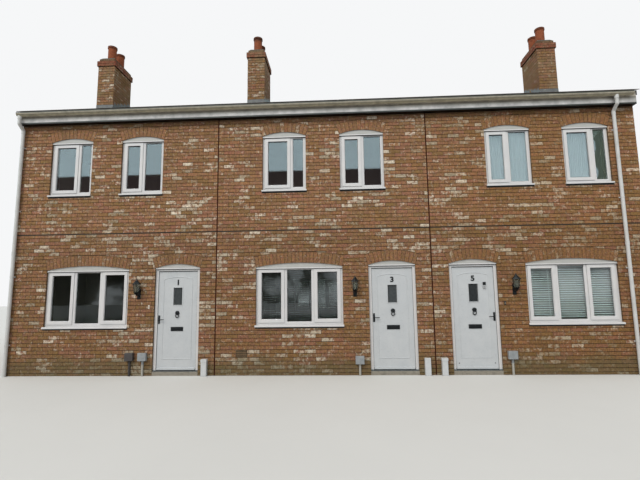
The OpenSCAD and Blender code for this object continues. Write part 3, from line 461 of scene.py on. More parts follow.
def jambs(facing, x, width, low, high):
    """Brick returns at both sides of an opening, from the face back to the frame."""
    made, deep = [], 0.037
    for side in (-1, 1):
        bm = bmesh.new()
        bond(bm, (0, deep), (low, high))
        turn = Matrix(((0, 0, -side, x + side * width / 2), (0, 1, 0, 0),
                       (side, 0, 0, -deep if side > 0 else 0), (0, 0, 0, 1)))
        made.append((bm, facing @ turn @ Matrix.Translation((0, 0, -0.0025))))
    return made


for number, (left, right) in HOUSES.items():
    for face in ("front", "back"):
        sign = 1 if face == "front" else -1
        span = (left, right) if sign == 1 else (-right, -left)
        bm = bmesh.new()
        bond(bm, span, (0, STOREY - 0.009))
        arch(bm, sign * BAYS[number], BAY_W, BAY_CILL, BAY_SPRING)
        returns = jambs(FACING[face], sign * BAYS[number], BAY_W, BAY_CILL, GROUND_HEAD)
        if sign == 1:
            arch(bm, DOORS[number], DOOR_W, -0.1, DOOR_SPRING)
            if number == 3:
                # Two stretchers are left out for an air brick
                gap = (-1.7535, -1.5285)

                def beside(first, last):
                    middles = [(f, f.calc_center_median()) for f in bm.faces]
                    return [f for f, c in middles if 0.35 < c.y < 0.5 and first < c.x < last]
                for x in gap:
                    cut(bm, (x, 0, 0), (1, 0, 0), beside(-2.2, -1.1))
                drop(bm, beside(*gap))
            returns += jambs(FACING[face], DOORS[number], DOOR_W, 0, GROUND_HEAD)
        panels = [(bm, FACING[face])]
        bm = bmesh.new()
        bond(bm, span, (STOREY + 0.009, SOFFIT))
        for x in UPPERS[number]:
            arch(bm, sign * x, UPPER_W, UPPER_CILL, UPPER_SPRING)
            returns += jambs(FACING[face], sign * x, UPPER_W, UPPER_CILL, UPPER_HEAD)
        panels.append((bm, FACING[face]))
        slips(f"bricks_{face}_{number}", panels + returns, 10 * number + sign, clay)

# A damp course of black sheet parts the storeys, and a dull brown filler the houses. Both are set back from the
# bricks' faces, and both are coloured darker than the real ones, as painted shade in their joints, so that they
# read as dark lines
bm, bead = bmesh.new(), bmesh.new()
for y, out in ((0, -1), (BACK, 1)):
    line = Matrix.Translation(((LEFT + RIGHT) / 2, y + 0.0006 * out, STOREY))
    bmesh.ops.create_cube(bm, size=1, matrix=line @ Matrix.Diagonal((RIGHT - LEFT, 0.0016, 0.020, 1)))
    for x in (-2.185, 2.185):
        line = Matrix.Translation((x, y + 0.0011 * out, SOFFIT / 2))
        bmesh.ops.create_cube(bead, size=1, matrix=line @ Matrix.Diagonal((0.024, 0.0026, SOFFIT, 1)))
black_sheet = finish("damp course", mottled(["#140f0b", "#211812"], 14, 0.8, 0.0004))
piece("storey_damp_course", bm, black_sheet)
filler = finish("joint filler", mottled(["#22100a", "#36170e", "#2a120b"], 9, 0.95, 0.0006, specular=0.1))
piece("joint_filler", bead, filler)

# The gable ends run up to 12 mm under the roof, which is 120 mm thick across its slope
for face in ("left", "right"):
    bm = bmesh.new()
    span = (0, BACK) if face == "right" else (-BACK, 0)
    bond(bm, span, (0, 7.18))
    hand = 1 if face == "right" else -1
    thick = 0.120 / math.cos(LEAN)
    for side in (-1, 1):
        foot = Vector(((0 if side < 0 else BACK) * hand, roof_at(0) - thick - 0.012, 0))
        cut(bm, foot, (side * hand * math.sin(LEAN), math.cos(LEAN), 0),
            [f for f in bm.faces if f.calc_center_median().y > 5.4])
    middles = [(f, f.calc_center_median()) for f in bm.faces]
    drop(bm, [f for f, c in middles if c.y > roof_at(abs(c.x)) - thick - 0.012])
    slips(f"bricks_{face}_end", [(bm, FACING[face])], 77 + hand, clay)

# The stacks: two stretchers wide and four deep, with a red band two courses high that
# stands out 28 mm, and a cap course set back over it. The middle one is a course higher
STACKS = {1: (-6.250, 0), 3: (-2.060, COURSE), 5: (5.640, 0)}
STACK_W, STACK_D, STACK_Y = 0.460, 0.900, 2.100
for number, (x, up) in STACKS.items():
    panels = []
    band, cap, top = 7.925 + up, 8.075 + up, 8.150 + up
    for out, low, high, phase in ((0, 6.5, band, 0), (0.028, band, cap, 1), (-0.012, cap, top, 0)):
        x0, x1, y0, y1 = x - out, x + STACK_W + out, STACK_Y - out, STACK_Y + STACK_D + out
        for side, place in facings(x0, x1, y0, y1, (x0, x1, y1, y0)).items():
            bm = bmesh.new()
            across = side in ("front", "back")
            bond(bm, (0, x1 - x0 if across else y1 - y0), (low, high), phase + across)
            # No brick is made where the roof and the lead's upstands hide it
            middles = [(f, place @ f.calc_center_median()) for f in bm.faces]
            drop(bm, [f for f, c in middles if c.z < roof_at(c.y) + 0.14])
            panels.append((bm, place))
    slips(f"bricks_stack_{number}", panels, 200 + number, clay, 0.0035, red=(band, cap))


# --- Walls behind the bricks: cavity walls built up in mortar with the bricks, so their faces
# show in the joints as mortar. Inside, party walls and ceilings have a skim of plaster,
# the ground floor is screeded, the upper one boarded, and the steps are cast concrete ---
def mortar_and_plaster(tree, shader):
    """Sand and lime mortar, brown, matt and gritty; in the rooms it is pale smooth plaster.
    Sand is really 1 mm, and is drawn at 1.4 mm. The stains are 600 mm wide."""
    place = add(tree, "TexCoord").outputs["Object"]
    sand = add(tree, "TexNoise", {"Vector": place, "Scale": 700, "Detail": 5, "Roughness": 0.8})
    stains = add(tree, "TexNoise", {"Vector": place, "Scale": 1.7, "Detail": 8, "Roughness": 0.65})
    upright = add(tree, "ValToRGB", {0: stains}, stops=[(0.34, "#5b4632"), (0.66, "#725b42")])
    x, y, z = add(tree, "SeparateXYZ", {0: place}).outputs
    # The raked bed joints are painted darker than the upright ones: the shade that the bricks above cast into them,
    # with some grime
    course = add(tree, "Math", {0: z, 1: -BED}, operation="ADD")
    course = add(tree, "Math", {0: course, 1: COURSE / 2}, operation="PINGPONG")
    bed_joint_shade = add(tree, "MapRange", {"Value": course, "From Min": 0.0065, "From Max": 0.008})
    bed = add(tree, "Mix", {0: bed_joint_shade, 6: linear("#2f2217"), 7: upright}, data_type="RGBA")
    # Where lime ran down, it fills the joints here and there
    runs = add(tree, "TexNoise", {"Vector": place, "Scale": 7, "Detail": 7, "Roughness": 0.7})
    runs = add(tree, "MapRange", {"Value": runs, "From Min": 0.53, "From Max": 0.66, "To Max": 0.8})
    bed = add(tree, "Mix", {0: runs, 6: bed, 7: linear("#87765c")}, data_type="RGBA")
    deep = add(tree, "Math", {0: y, 1: BACK / 2, 2: BACK / 2 - 0.29}, operation="COMPARE")
    middle, reach = (LEFT + RIGHT) / 2, (RIGHT - LEFT) / 2 - 0.29
    between = add(tree, "Math", {0: x, 1: middle, 2: reach}, operation="COMPARE")
    below = add(tree, "Math", {0: z, 1: 6}, operation="LESS_THAN")
    room = add(tree, "Math", {0: deep, 1: between}, operation="MULTIPLY")
    room = add(tree, "Math", {0: room, 1: below}, operation="MULTIPLY")
    skim = add(tree, "Mix", {0: room, 6: bed, 7: linear("#b9b3a6")}, data_type="RGBA")
    relief = add(tree, "Bump", {"Height": sand, "Distance": 0.0015, "Strength": 0.8})
    feed(tree, shader, {"Base Color": skim, "Normal": relief, "Roughness": 0.95, "Specular IOR Level": 0.2})


def dress(names, material):
    """Gives CAD nodes a finish."""
    for name in names.split():
        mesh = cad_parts[name].data
        mesh.materials.clear()
        mesh.materials.append(material)


dress("front_wall_1_bay front_wall_3_bay front_wall_5_bay front_door_piers front_door_heads front_wall_1_upper "
      "front_wall_3_upper front_wall_5_upper rear_wall_ground rear_wall_upper left_end_wall right_end_wall "
      "chimney_stack_1 chimney_stack_3 chimney_stack_5", finish("mortar and plaster", mortar_and_plaster))
# Smooth off-white plaster, dull brown rubbery sealant, grey screed, warm sawn boards with a
# slight gleam, and grey concrete gone dark and rough with weather
dress("party_walls upper_ceiling", finish("plaster", mottled(["#cfc9bc", "#d8d3c8"], 2, 0.9, 0.0006)))
dress("movement_joints", finish("sealant", mottled(["#35201a", "#45281e"], 9, 0.8, 0.0004)))
dress("ground_floor", finish("floor screed", mottled(["#7d786f", "#8b867c"], 3, 0.85, 0.0005)))
dress("first_floor", finish("floor boards", mottled(["#8d7452", "#a0855f"], 4, 0.6, 0.0005)))
dress("door_steps", finish("step concrete", mottled(["#6f6a61", "#8a8478", "#7b766c"], 9, 0.9, 0.0012)))


# --- Roof: flat interlocking concrete tiles on both slopes, in broken bond, each with its
# tail on the head of the one below, over a felted deck; half-round ridge tiles in mortar ---
TILE, GAUGE, COURSES = 13.030 / 43, 4.2143 / 12, 12
VERGE_L, VERGE_R = -6.590, 6.440


def weathered_tile(tree, shader):
    """Pressed concrete, matt and greyed by weather, with streaks 300 mm wide and pale lichen in
    60 mm spots. Its grit is drawn at 2 mm, coarser than it is, so that it shows."""
    place = add(tree, "TexCoord").outputs["Object"]
    tone = add(tree, "Attribute", attribute_name="tone").outputs["Fac"]
    streaks = add(tree, "TexNoise", {"Vector": place, "Scale": 3.1, "Detail": 9, "Roughness": 0.7})
    pick = add(tree, "Math", {0: streaks, 1: 0.9, 2: tone}, operation="MULTIPLY_ADD")
    body = add(tree, "ValToRGB", {0: pick}, stops=[
        (0.3, "#3d3835"), (1.1, "#6a6158"), (0.6, "#4b4540"), (0.85, "#5a524b")])
    spots = add(tree, "TexVoronoi", {"Vector": place, "Scale": 17, "Randomness": 1})
    edge = add(tree, "Math", {0: streaks, 1: -0.3, 2: spots.outputs["Distance"]}, operation="MULTIPLY_ADD")
    lichen = add(tree, "MapRange", {"Value": edge, "From Min": -0.02, "From Max": 0.03,
                                    "To Min": 0.7, "To Max": 0.0})
    grown = add(tree, "Mix", {0: lichen, 6: body, 7: linear("#8b8a74")}, data_type="RGBA")
    grit = add(tree, "TexNoise", {"Vector": place, "Scale": 500, "Detail": 4, "Roughness": 0.8})
    relief = add(tree, "Bump", {"Height": grit, "Distance": 0.001, "Strength": 0.9})
    feed(tree, shader, {"Base Color": grown, "Normal": relief, "Roughness": 0.9, "Specular IOR Level": 0.3})


tile = finish("weathered tile", weathered_tile)
felt = finish("roofing felt", mottled(["#2b2725", "#3a3532"], 6, 0.95, 0.001))
sides = [e for x, up in STACKS.values() for e in (x - 0.002, x + STACK_W + 0.002)]
across = [VERGE_L + 0.002, *sides, VERGE_R - 0.002]
for face, turn in (("front", 1), ("rear", -1)):
    lying = Matrix(((turn, 0, 0, VERGE_L if turn == 1 else VERGE_R),
                    (0, turn * math.cos(LEAN), -turn * math.sin(LEAN), EAVES_Y if turn == 1 else BACK - EAVES_Y),
                    (0, math.sin(LEAN), math.cos(LEAN), EAVES_TOP), (0, 0, 0, 1)))
    bm = bmesh.new()
    bond(bm, (0.003, VERGE_R - VERGE_L - 0.003), (0, COURSES * GAUGE), 0, TILE, GAUGE, 0)
    if turn == 1:
        low, high = ((y - EAVES_Y) / math.cos(LEAN) for y in (STACK_Y - 0.006, STACK_Y + STACK_D + 0.006))
        for x, up in STACKS.values():
            a, b = x - 0.006 - VERGE_L, x + STACK_W + 0.006 - VERGE_L

            def around(wide, tall):
                middles = [(f, f.calc_center_median()) for f in bm.faces]
                return [f for f, c in middles if a - wide < c.x < b + wide and low - tall < c.y < high + tall]
            for point, normal in (((a, 0, 0), (1, 0, 0)), ((b, 0, 0), (1, 0, 0)),
                                  ((0, low, 0), (0, 1, 0)), ((0, high, 0), (0, 1, 0))):
                cut(bm, point, normal, around(TILE, GAUGE))
            drop(bm, around(0, 0))
    tone = bm.faces.layers.float.new("tone")
    fresh = set(bm.faces[:])
    bmesh.ops.inset_individual(bm, faces=list(fresh), thickness=0.002, depth=0, use_even_offset=True)
    drop(bm, [f for f in bm.faces if f not in fresh])
    rnd = random.Random(500 + turn)
    for f in bm.faces:
        f[tone] = rnd.uniform(0.0, 0.4)
        k = math.floor(f.calc_center_median().y / GAUGE)
        lift, slip = rnd.uniform(-0.0008, 0), rnd.uniform(-0.0012, 0.0012)
        for v in f.verts:
            lap = (v.co.y - k * GAUGE) / GAUGE
            if lap > 0.97 and k < COURSES - 1:
                v.co.y += 0.02
            elif k:
                v.co.y += slip
            v.co.z = lift - 0.0125 * lap
    bmesh.ops.solidify(bm, geom=bm.faces[:], thickness=0.0115)
    bm.normal_update()
    rim = [e for e in bm.edges if len(e.link_faces) == 2
           and max(f.normal.z for f in e.link_faces) > 0.9 > min(f.normal.z for f in e.link_faces) > -0.5]
    bmesh.ops.bevel(bm, geom=rim, offset=0.002, offset_type="OFFSET", segments=1,
                    profile=0.5, affect="EDGES", material=-1)
    bmesh.ops.transform(bm, matrix=lying, verts=bm.verts)
    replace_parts(piece(f"roof_tiles_{face}", bm, tile), f"roof_{face}")

    # The deck is one sheared box between each pair of breaks, and stops short of the stacks
    bm = bmesh.new()
    clear = [(-0.110, BACK / 2)]
    beside_stack = [(-0.110, STACK_Y - 0.002), (STACK_Y + STACK_D + 0.002, BACK / 2)]
    for i in range(7):
        for y0, y1 in clear if turn == -1 or i % 2 == 0 else beside_stack:
            y0, y1 = (y0, y1) if turn == 1 else (BACK - y1, BACK - y0)
            box = Matrix.Translation(((across[i] + across[i + 1]) / 2, (y0 + y1) / 2, -0.078))
            box @= Matrix.Diagonal((across[i + 1] - across[i], y1 - y0, 0.102, 1))
            for v in bmesh.ops.create_cube(bm, size=1, matrix=box)["verts"]:
                v.co.z += roof_at(v.co.y)
    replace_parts(piece(f"roof_deck_{face}", bm, felt), f"roof_{face}")

# Ridge tiles: half-round concrete shells 443 mm long, bedded on mortar that shows, rough and
# paler, in their 6 mm joints
RIDGE_R, RIDGE_N = 0.125, 29
RIDGE_Z = roof_at(BACK / 2) - RIDGE_R * PITCH


def half_round(bm, start, length, radius, wall):
    """Half-round shell along the ridge, each half cut to the slope on its side."""
    place = Matrix.Translation((start + length / 2, BACK / 2, RIDGE_Z)) @ Matrix.Rotation(math.pi / 2, 4, "Y")
    bmesh.ops.create_cone(bm, cap_ends=False, segments=48, radius1=radius, radius2=radius,
                          depth=length, matrix=place)
    for side in (-1, 1):
        half = [f for f in bm.faces if (f.calc_center_median().y - BACK / 2) * side > 0]
        bmesh.ops.bisect_plane(bm, geom=list({g for f in half for g in (f, *f.edges, *f.verts)}), dist=1e-6,
                               plane_co=(0, BACK / 2, roof_at(BACK / 2) - 0.011),
                               plane_no=(0, side * math.sin(LEAN), math.cos(LEAN)), clear_inner=True)
    bmesh.ops.solidify(bm, geom=bm.faces[:], thickness=wall)


bm, mortar = bmesh.new(), bmesh.new()
step = (VERGE_R - VERGE_L) / RIDGE_N
for i in range(RIDGE_N):
    single = bmesh.new()
    half_round(single, VERGE_L + i * step + 0.003, step - 0.006, RIDGE_R, 0.014)
    join(bm, single)
half_round(mortar, VERGE_L + 0.004, VERGE_R - VERGE_L - 0.008, RIDGE_R - 0.004, 0.008)
concrete = finish("ridge concrete", mottled(["#4a433e", "#5a524b", "#6b635b"], 7, 0.9, 0.001))
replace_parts(piece("ridge_tiles", bm, concrete), "roof_ridge")
bedding = finish("ridge mortar", mottled(["#6f685c", "#8a8375"], 15, 0.95, 0.0015))
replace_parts(piece("ridge_mortar", mortar, bedding), "roof_ridge")


# --- Eaves: fascia and soffit boards of white plastic nailed to the rafters' feet, half-round
# gutters of extruded plastic in brackets, and white plastic pipes down the walls ---
# Moulded and extruded plastic, smooth and off-white, with painted shade where it looks down
white = finish("white plastic", mottled(["#c5c5c6", "#cbcaca", "#d0cecd"], 3, 0.35, 0.0001, 60, underside_shade="#2f2b27"))


def banded(bands, scale, roughness, underside_shade=None):
    """A mottled finish whose tone also changes with the height: bands are (z, colour) from low to high."""
    def build(tree, shader):
        mottled(["#c4c4c4", "#ffffff"], scale, roughness, 0.0001, 60, underside_shade=underside_shade)(tree, shader)
        z = add(tree, "SeparateXYZ", {0: add(tree, "TexCoord").outputs["Object"]}).outputs["Z"]
        span = bands[-1][0] - bands[0][0]
        place = add(tree, "MapRange", {"Value": z, "From Min": bands[0][0], "From Max": bands[-1][0]})
        ends = [bands[0], bands[-1], *bands[1:-1]]
        tone = add(tree, "ValToRGB", {0: place}, stops=[((h - bands[0][0]) / span, c) for h, c in ends])
        patches = shader.inputs["Base Color"].links[0].from_socket
        mixed = add(tree, "Mix", {0: 1, 6: tone, 7: patches}, data_type="RGBA", blend_type="MULTIPLY")
        feed(tree, shader, {"Base Color": mixed})
    return build


# The fascia carries painted light and shade in bands: dark along its foot, where the soffit shades it, off-white
# over that, greyer up to the gutter, which shades it, and lighter again behind the gutter. Faces that look down get
# painted shade too
dress("front_eaves_boards rear_eaves_boards", finish("boards with painted light and shade", banded(
    [(5.32, "#241f1a"), (5.349, "#241f1a"), (5.354, "#cfcecc"), (5.385, "#d8d6d4"), (5.418, "#c7c4bf"),
     (5.44, "#a8a49c"), (5.462, "#827d74"), (5.475, "#8d877c"), (5.485, "#bcb4a4"), (5.6, "#bcb4a4")],
    5, 0.45, underside_shade="#1d1815")))
# The gutters have faded to a sandy grey, and carry painted light and shade in bands by height: pale at the foot and
# in the middle, a darker band between, and dark along the rims
dress("front_gutter rear_gutter", finish("gutter plastic", banded(
    [(5.472, "#b5ac96"), (5.483, "#a29a80"), (5.498, "#878071"), (5.509, "#a39c88"), (5.516, "#c0b9a3"),
     (5.524, "#8b8677"), (5.536, "#4b473e"), (5.55, "#4f4b42")], 8, 0.5)))
# The pipes have weathered duller than the boards
pipe_white = finish("pipe plastic", mottled(["#b4b4b1", "#bfbfbd", "#c5c5c4"], 5, 0.45, 0.0001, 60))
dress("downpipes", pipe_white)


def strap(bm, centre, axis, radius, wide, wall, start=0, turn=360, segments=32):
    """Adds a strap round a pipe: wide along the axis, wall thick, over part or all of a turn."""
    single = bmesh.new()
    profile = bmesh.ops.create_grid(single, x_segments=1, y_segments=1, size=0.5, matrix=Matrix((
        (wall, 0, 0, radius + wall / 2), (0, 0, 1, 0), (0, wide, 0, 0), (0, 0, 0, 1))))["verts"]
    bmesh.ops.rotate(single, verts=profile, cent=(0, 0, 0), matrix=Matrix.Rotation(math.radians(start), 3, "Z"))
    if turn == 360:
        bmesh.ops.delete(single, geom=single.faces[:], context="FACES_ONLY")
    bmesh.ops.spin(single, geom=[*single.faces, *single.edges, *single.verts], cent=(0, 0, 0), axis=(0, 0, 1),
                   angle=math.radians(turn), steps=segments, use_merge=turn == 360)
    bmesh.ops.recalc_face_normals(single, faces=single.faces[:])
    place = Matrix.Translation(centre) @ Vector(axis).to_track_quat("Z", "Y").to_matrix().to_4x4()
    bmesh.ops.transform(single, matrix=place, verts=single.verts[:])
    join(bm, single)


def slab(bm, x, y, z, rounded=0.0, segments=2):
    """Adds a box between three pairs of coordinates, with rounded edges."""
    single = bmesh.new()
    centre = Matrix.Translation(((x[0] + x[1]) / 2, (y[0] + y[1]) / 2, (z[0] + z[1]) / 2))
    size = Matrix.Diagonal((x[1] - x[0], y[1] - y[0], z[1] - z[0], 1))
    bmesh.ops.create_cube(single, size=1, matrix=centre @ size)
    if rounded:
        bmesh.ops.bevel(single, geom=single.edges[:], offset=rounded, offset_type="OFFSET",
                        segments=segments, profile=0.5, affect="EDGES", material=-1)
    join(bm, single)


# Brackets every 0.9 m and union clips hold the gutters; each downpipe has sockets,
# and clips whose two lugs are screwed to the wall
GUTTER_Y, GUTTER_Z, GUTTER_R, PIPE_Y, PIPE_R = -0.194, 5.530, 0.058, -0.060, 0.0342
TO_REAR = Matrix(((1, 0, 0, 0), (0, -1, 0, BACK), (0, 0, 1, 0), (0, 0, 0, 1)))
brackets, clips = bmesh.new(), bmesh.new()
for face in ("front", "rear"):
    turn = Matrix.Identity(4) if face == "front" else TO_REAR
    row = bmesh.new()
    end = RIGHT - 0.100 if face == "front" else RIGHT
    n = round((end - LEFT) / 0.9)
    for i in range(n + 1):
        x = LEFT + 0.12 + i * (end - LEFT - 0.24) / n
        wide = 0.075 if i in (4, 9) else 0.024
        strap(row, (x, GUTTER_Y, GUTTER_Z), (1, 0, 0), GUTTER_R + 0.0004, wide, 0.0022, 201, 151, 20)
        slab(row, (x - wide / 2, x + wide / 2), (-0.1345, -0.1302), (5.475, 5.545), 0.001, 1)
    bmesh.ops.transform(row, matrix=turn, verts=row.verts[:])
    bmesh.ops.recalc_face_normals(row, faces=row.faces[:])
    join(brackets, row)
    pipes = bmesh.new()
    for x in ((LEFT + 0.050, RIGHT - 0.425) if face == "front" else (LEFT + 0.150, RIGHT - 0.150)):
        for z in (0.62, 2.02, 3.42, 4.82):
            strap(pipes, (x, PIPE_Y, z), (0, 0, 1), PIPE_R, 0.026, 0.0030)
            slab(pipes, (x - 0.040, x + 0.040), (-0.024, -0.0056), (z - 0.013, z + 0.013), 0.003)
            for side in (-1, 1):
                strap(pipes, (x + side * 0.031, -0.0245, z), (0, 1, 0), 0.0001, 0.003, 0.0040, segments=12)
        for z, tall in ((2.50, 0.070), (5.165, 0.060)):
            strap(pipes, (x, PIPE_Y, z), (0, 0, 1), PIPE_R, tall, 0.0035)
            strap(pipes, (x, PIPE_Y, z + tall / 2), (0, 0, 1), PIPE_R, 0.008, 0.0055)
    bmesh.ops.transform(pipes, matrix=turn, verts=pipes.verts[:])
    bmesh.ops.recalc_face_normals(pipes, faces=pipes.faces[:])
    join(clips, pipes)
piece("gutter_brackets", brackets, bpy.data.materials["gutter plastic"])
piece("pipe_clips", clips, pipe_white)


# --- Chimney tops: thrown and fired clay pots, bedded in a weathered slope of mortar on the
# cap, and sheet lead round each stack's foot, tucked into the joints and dressed to the tiles ---
def sooty_clay(tree, shader):
    """Unglazed red clay, matt, with soot round the rims of the pots."""
    mottled(["#7d4329", "#8c5035", "#6c3c29"], 14, 0.85, 0.0008, specular=0.2)(tree, shader)
    red = shader.inputs["Base Color"].links[0].from_socket
    place = add(tree, "TexCoord").outputs["Object"]
    drift = add(tree, "TexNoise", {"Vector": place, "Scale": 9, "Detail": 5})
    z = add(tree, "SeparateXYZ", {0: place}).outputs["Z"]
    up = add(tree, "Math", {0: drift, 1: 0.1, 2: z}, operation="MULTIPLY_ADD")
    soot = add(tree, "MapRange", {"Value": up, "From Min": 8.58, "From Max": 8.68, "To Max": 0.7})
    mixed = add(tree, "Mix", {0: soot, 6: red, 7: linear("#2b201b")}, data_type="RGBA")
    feed(tree, shader, {"Base Color": mixed})


# The mortar is rough and dark with soot, and the lead dull grey with paler worn patches
dress("chimney_pots", finish("pot clay", sooty_clay))
dress("chimney_flaunchings", finish("flaunching", mottled(["#453f36", "#554e44"], 20, 0.95, 0.0015)))
lead = finish("lead", mottled(["#545557", "#5f6061", "#686967", "#807f7b"], 11, 0.6, 0.0012, 25))
dress("chimney_flashings", lead)


# --- Windows: welded frames and casements of extruded white plastic, screwed to the brick
# jambs and glazed with sealed units behind snapped-in beads. Cream panels fill the arches,
# and slatted blinds or nets hang in some rooms ---
def pane_glass(tree, shader):
    """Float glass: clear and mirror-smooth, with a faint wave and a film of dust."""
    place = add(tree, "TexCoord").outputs["Object"]
    wave = add(tree, "TexNoise", {"Vector": place, "Scale": 2.3, "Detail": 1})
    relief = add(tree, "Bump", {"Height": wave, "Distance": 0.0004, "Strength": 0.6})
    film = add(tree, "TexNoise", {"Vector": place, "Scale": 6, "Detail": 5})
    haze = add(tree, "MapRange", {"Value": film, "To Min": 0.0, "To Max": 0.02})
    tint = add(tree, "ValToRGB", {0: film}, stops=[(0.3, "#f3f5f4"), (0.7, "#f8faf9")])
    # No room behind the rear panes is lit, so they pass little light through the house
    depth = add(tree, "SeparateXYZ", {0: place}).outputs["Y"]
    rear = add(tree, "Math", {0: depth, 1: 3.65}, operation="GREATER_THAN")
    tint = add(tree, "Mix", {0: rear, 6: tint, 7: linear("#565c59")}, data_type="RGBA")
    feed(tree, shader, {"Base Color": tint, "Normal": relief, "Roughness": haze,
                        "Transmission Weight": 1, "Coat Weight": 1, "Coat Roughness": 0.01})


def soften(names, width, segments=2):
    """Rounds the edges of CAD nodes."""
    for name in names.split():
        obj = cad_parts[name]
        weld = obj.modifiers.new("weld", "WELD")
        weld.merge_threshold = 0.0001
        flat = obj.modifiers.new("flat", "DECIMATE")
        flat.decimate_type, flat.angle_limit = "DISSOLVE", math.radians(1)
        round_off = obj.modifiers.new("rounded", "BEVEL")
        round_off.width, round_off.segments, round_off.limit_method = width, segments, "ANGLE"
        round_off.angle_limit = math.radians(40)
        round_off.use_clamp_overlap = True


dress("front_glass rear_glass", finish("sealed glass", pane_glass))
joinery = ("front_window_frames front_casements front_cills rear_window_frames rear_casements rear_cills "
           "door_frame_jambs door_frame_heads")
dress(joinery, white)
soften(joinery, 0.0025)
# Foiled plastic panels, cream and less glossy than the frames, with painted shade where they look down
panel = mottled(["#a8a8a4", "#b1b0ad"], 6, 0.5, 0.0002, 60, underside_shade="#3f3b35")
dress("front_head_panels rear_head_panels", finish("cream panel", panel))


def slat_tones(tree, shader):
    """Painted slats with a satin gleam, white, and grey in the middle house."""
    mottled(["#e6efe8", "#f0f6f1"], 5, 0.45)(tree, shader)
    pale = shader.inputs["Base Color"].links[0].from_socket
    x = add(tree, "SeparateXYZ", {0: add(tree, "TexCoord").outputs["Object"]}).outputs["X"]
    middle = add(tree, "Math", {0: x, 1: 2}, operation="LESS_THAN")
    toned = add(tree, "Mix", {0: middle, 6: pale, 7: linear("#737975")}, data_type="RGBA")
    feed(tree, shader, {"Base Color": toned})


dress("window_blinds", finish("blind slats", slat_tones))

# Every light as (left, right, foot, head, hand), where the hand is the side of a casement's
# handle and 0 is fixed glass. Plastic beads slope to the glass, and black rubber, matt and
# soft, seals the glass and laps out from under the casements
GLASS_Y, FRAME_Y = 0.056, 0.040
UPPER_X = [x for pair in UPPERS.values() for x in pair]
LIGHTS = []
for x in BAYS.values():
    for left, right, hand in ((-0.828, -0.314, 1), (-0.254, 0.254, 0), (0.314, 0.828, -1)):
        LIGHTS.append((x + left, x + right, 1.035, 2.086, hand))
for x in UPPER_X:
    sash = 0.520 if x in (-5.405, -0.780, 5.405) else 0.386
    LIGHTS.append((x - 0.4025, x - 0.4025 + sash, 3.813, 4.870, 1))
    LIGHTS.append((x - 0.3425 + sash, x + 0.4025, 3.813, 4.870, 0))


def border(bm, x, z, wide, outer, inner, back):
    """Mitred ring round an upright light: its face slopes from y = outer to y = inner, and its
    back is at y = back."""
    single = bmesh.new()
    place = Matrix(((x[1] - x[0], 0, 0, (x[0] + x[1]) / 2), (0, 0, -1, outer),
                    (0, z[1] - z[0], 0, (z[0] + z[1]) / 2), (0, 0, 0, 1)))
    bmesh.ops.create_grid(single, x_segments=1, y_segments=1, size=0.5, matrix=place)
    middle = single.faces[:][0]
    bmesh.ops.inset_individual(single, faces=[middle], thickness=wide, depth=0)
    for v in middle.verts:
        v.co.y = inner
    drop(single, [middle])
    made = bmesh.ops.extrude_face_region(single, geom=single.faces[:], use_keep_orig=True)["geom"]
    for v in made:
        if isinstance(v, bmesh.types.BMVert):
            v.co.y = back
    bmesh.ops.recalc_face_normals(single, faces=single.faces[:])
    join(bm, single)


beads, rubber, handles, trims, painted_shadow_strips = (bmesh.new() for _ in range(5))
for x0, x1, z0, z1, hand in LIGHTS:
    inset, face = (0.053, 0.028) if hand else (0, FRAME_Y)
    x, z = (x0 + inset, x1 - inset), (z0 + inset, z1 - inset)
    border(beads, x, z, 0.011, face + 0.003, GLASS_Y - 0.0042, GLASS_Y - 0.0004)
    border(rubber, x, z, 0.0145, GLASS_Y - 0.0032, GLASS_Y - 0.0022, GLASS_Y - 0.0003)
    if hand:
        lap = 0.0138
        border(rubber, (x0 - lap, x1 + lap), (z0 - lap, z1 + lap), 0.008, 0.0385, 0.0385, FRAME_Y - 0.0002)
        # Each handle is a rose, a spindle and a lever
        hx, hz = (x1 - 0.030 if hand == 1 else x0 + 0.030), (z0 + z1) / 2 - 0.1
        slab(handles, (hx - 0.013, hx + 0.013), (0.1002, 0.112), (hz - 0.035, hz + 0.035), 0.005)
        slab(handles, (hx - 0.009, hx + 0.009), (0.112, 0.136), (hz - 0.009, hz + 0.009), 0.004)
        slab(handles, (hx - 0.008, hx + 0.008), (0.128, 0.140), (hz - 0.105, hz + 0.012), 0.0045)
# Strips of black rubber paint the shadows under the cills, on the brick below them, and under the head panels, on
# the frames behind a trim
OPENINGS = [(x, BAY_W, BAY_CILL, 2.108) for x in BAYS.values()] + [(x, UPPER_W, 3.728, 4.892) for x in UPPER_X]
for x, wide, cill, head in OPENINGS:
    for y in ((-0.0085, -0.002), (BACK + 0.002, BACK + 0.0085)):
        slab(painted_shadow_strips, (x - wide / 2 - 0.013, x + wide / 2 + 0.013), y, (cill - 0.038, cill - 0.0005))
for x, wide, cill, head in OPENINGS + [(x, DOOR_W, 0, 2.135) for x in DOORS.values()]:
    span = (x - wide / 2 + 0.002, x + wide / 2 - 0.002)
    slab(trims, span, (0.0085, 0.0152), (head, head + 0.022), 0.002)
    slab(painted_shadow_strips, span, (0.0335, 0.0397), (head - 0.010, head + 0.002))
for x, wide, cill, head in OPENINGS:
    span = (x - wide / 2 + 0.002, x + wide / 2 - 0.002)
    slab(trims, span, (BACK - 0.0152, BACK - 0.0085), (head, head + 0.022), 0.002)
    slab(painted_shadow_strips, span, (BACK - 0.0397, BACK - 0.0335), (head - 0.010, head + 0.002))
black_rubber = finish("black rubber", mottled(["#141516", "#1d1e1f"], 30, 0.6, 0.0001, 200))
for name, bm, material, slot in (("glazing_beads", beads, white, "white_plastic"),
                                 ("glazing_rubber", rubber, black_rubber, "sealant"),
                                 ("casement_handles", handles, white, "white_plastic")):
    twin = bm.copy()
    bmesh.ops.transform(twin, matrix=TO_REAR, verts=twin.verts[:])
    bmesh.ops.reverse_faces(twin, faces=twin.faces[:])
    join(bm, twin)
    piece(name, bm, material)
piece("head_trims", trims, white)
piece("head_and_cill_shadow_strips", painted_shadow_strips, black_rubber)

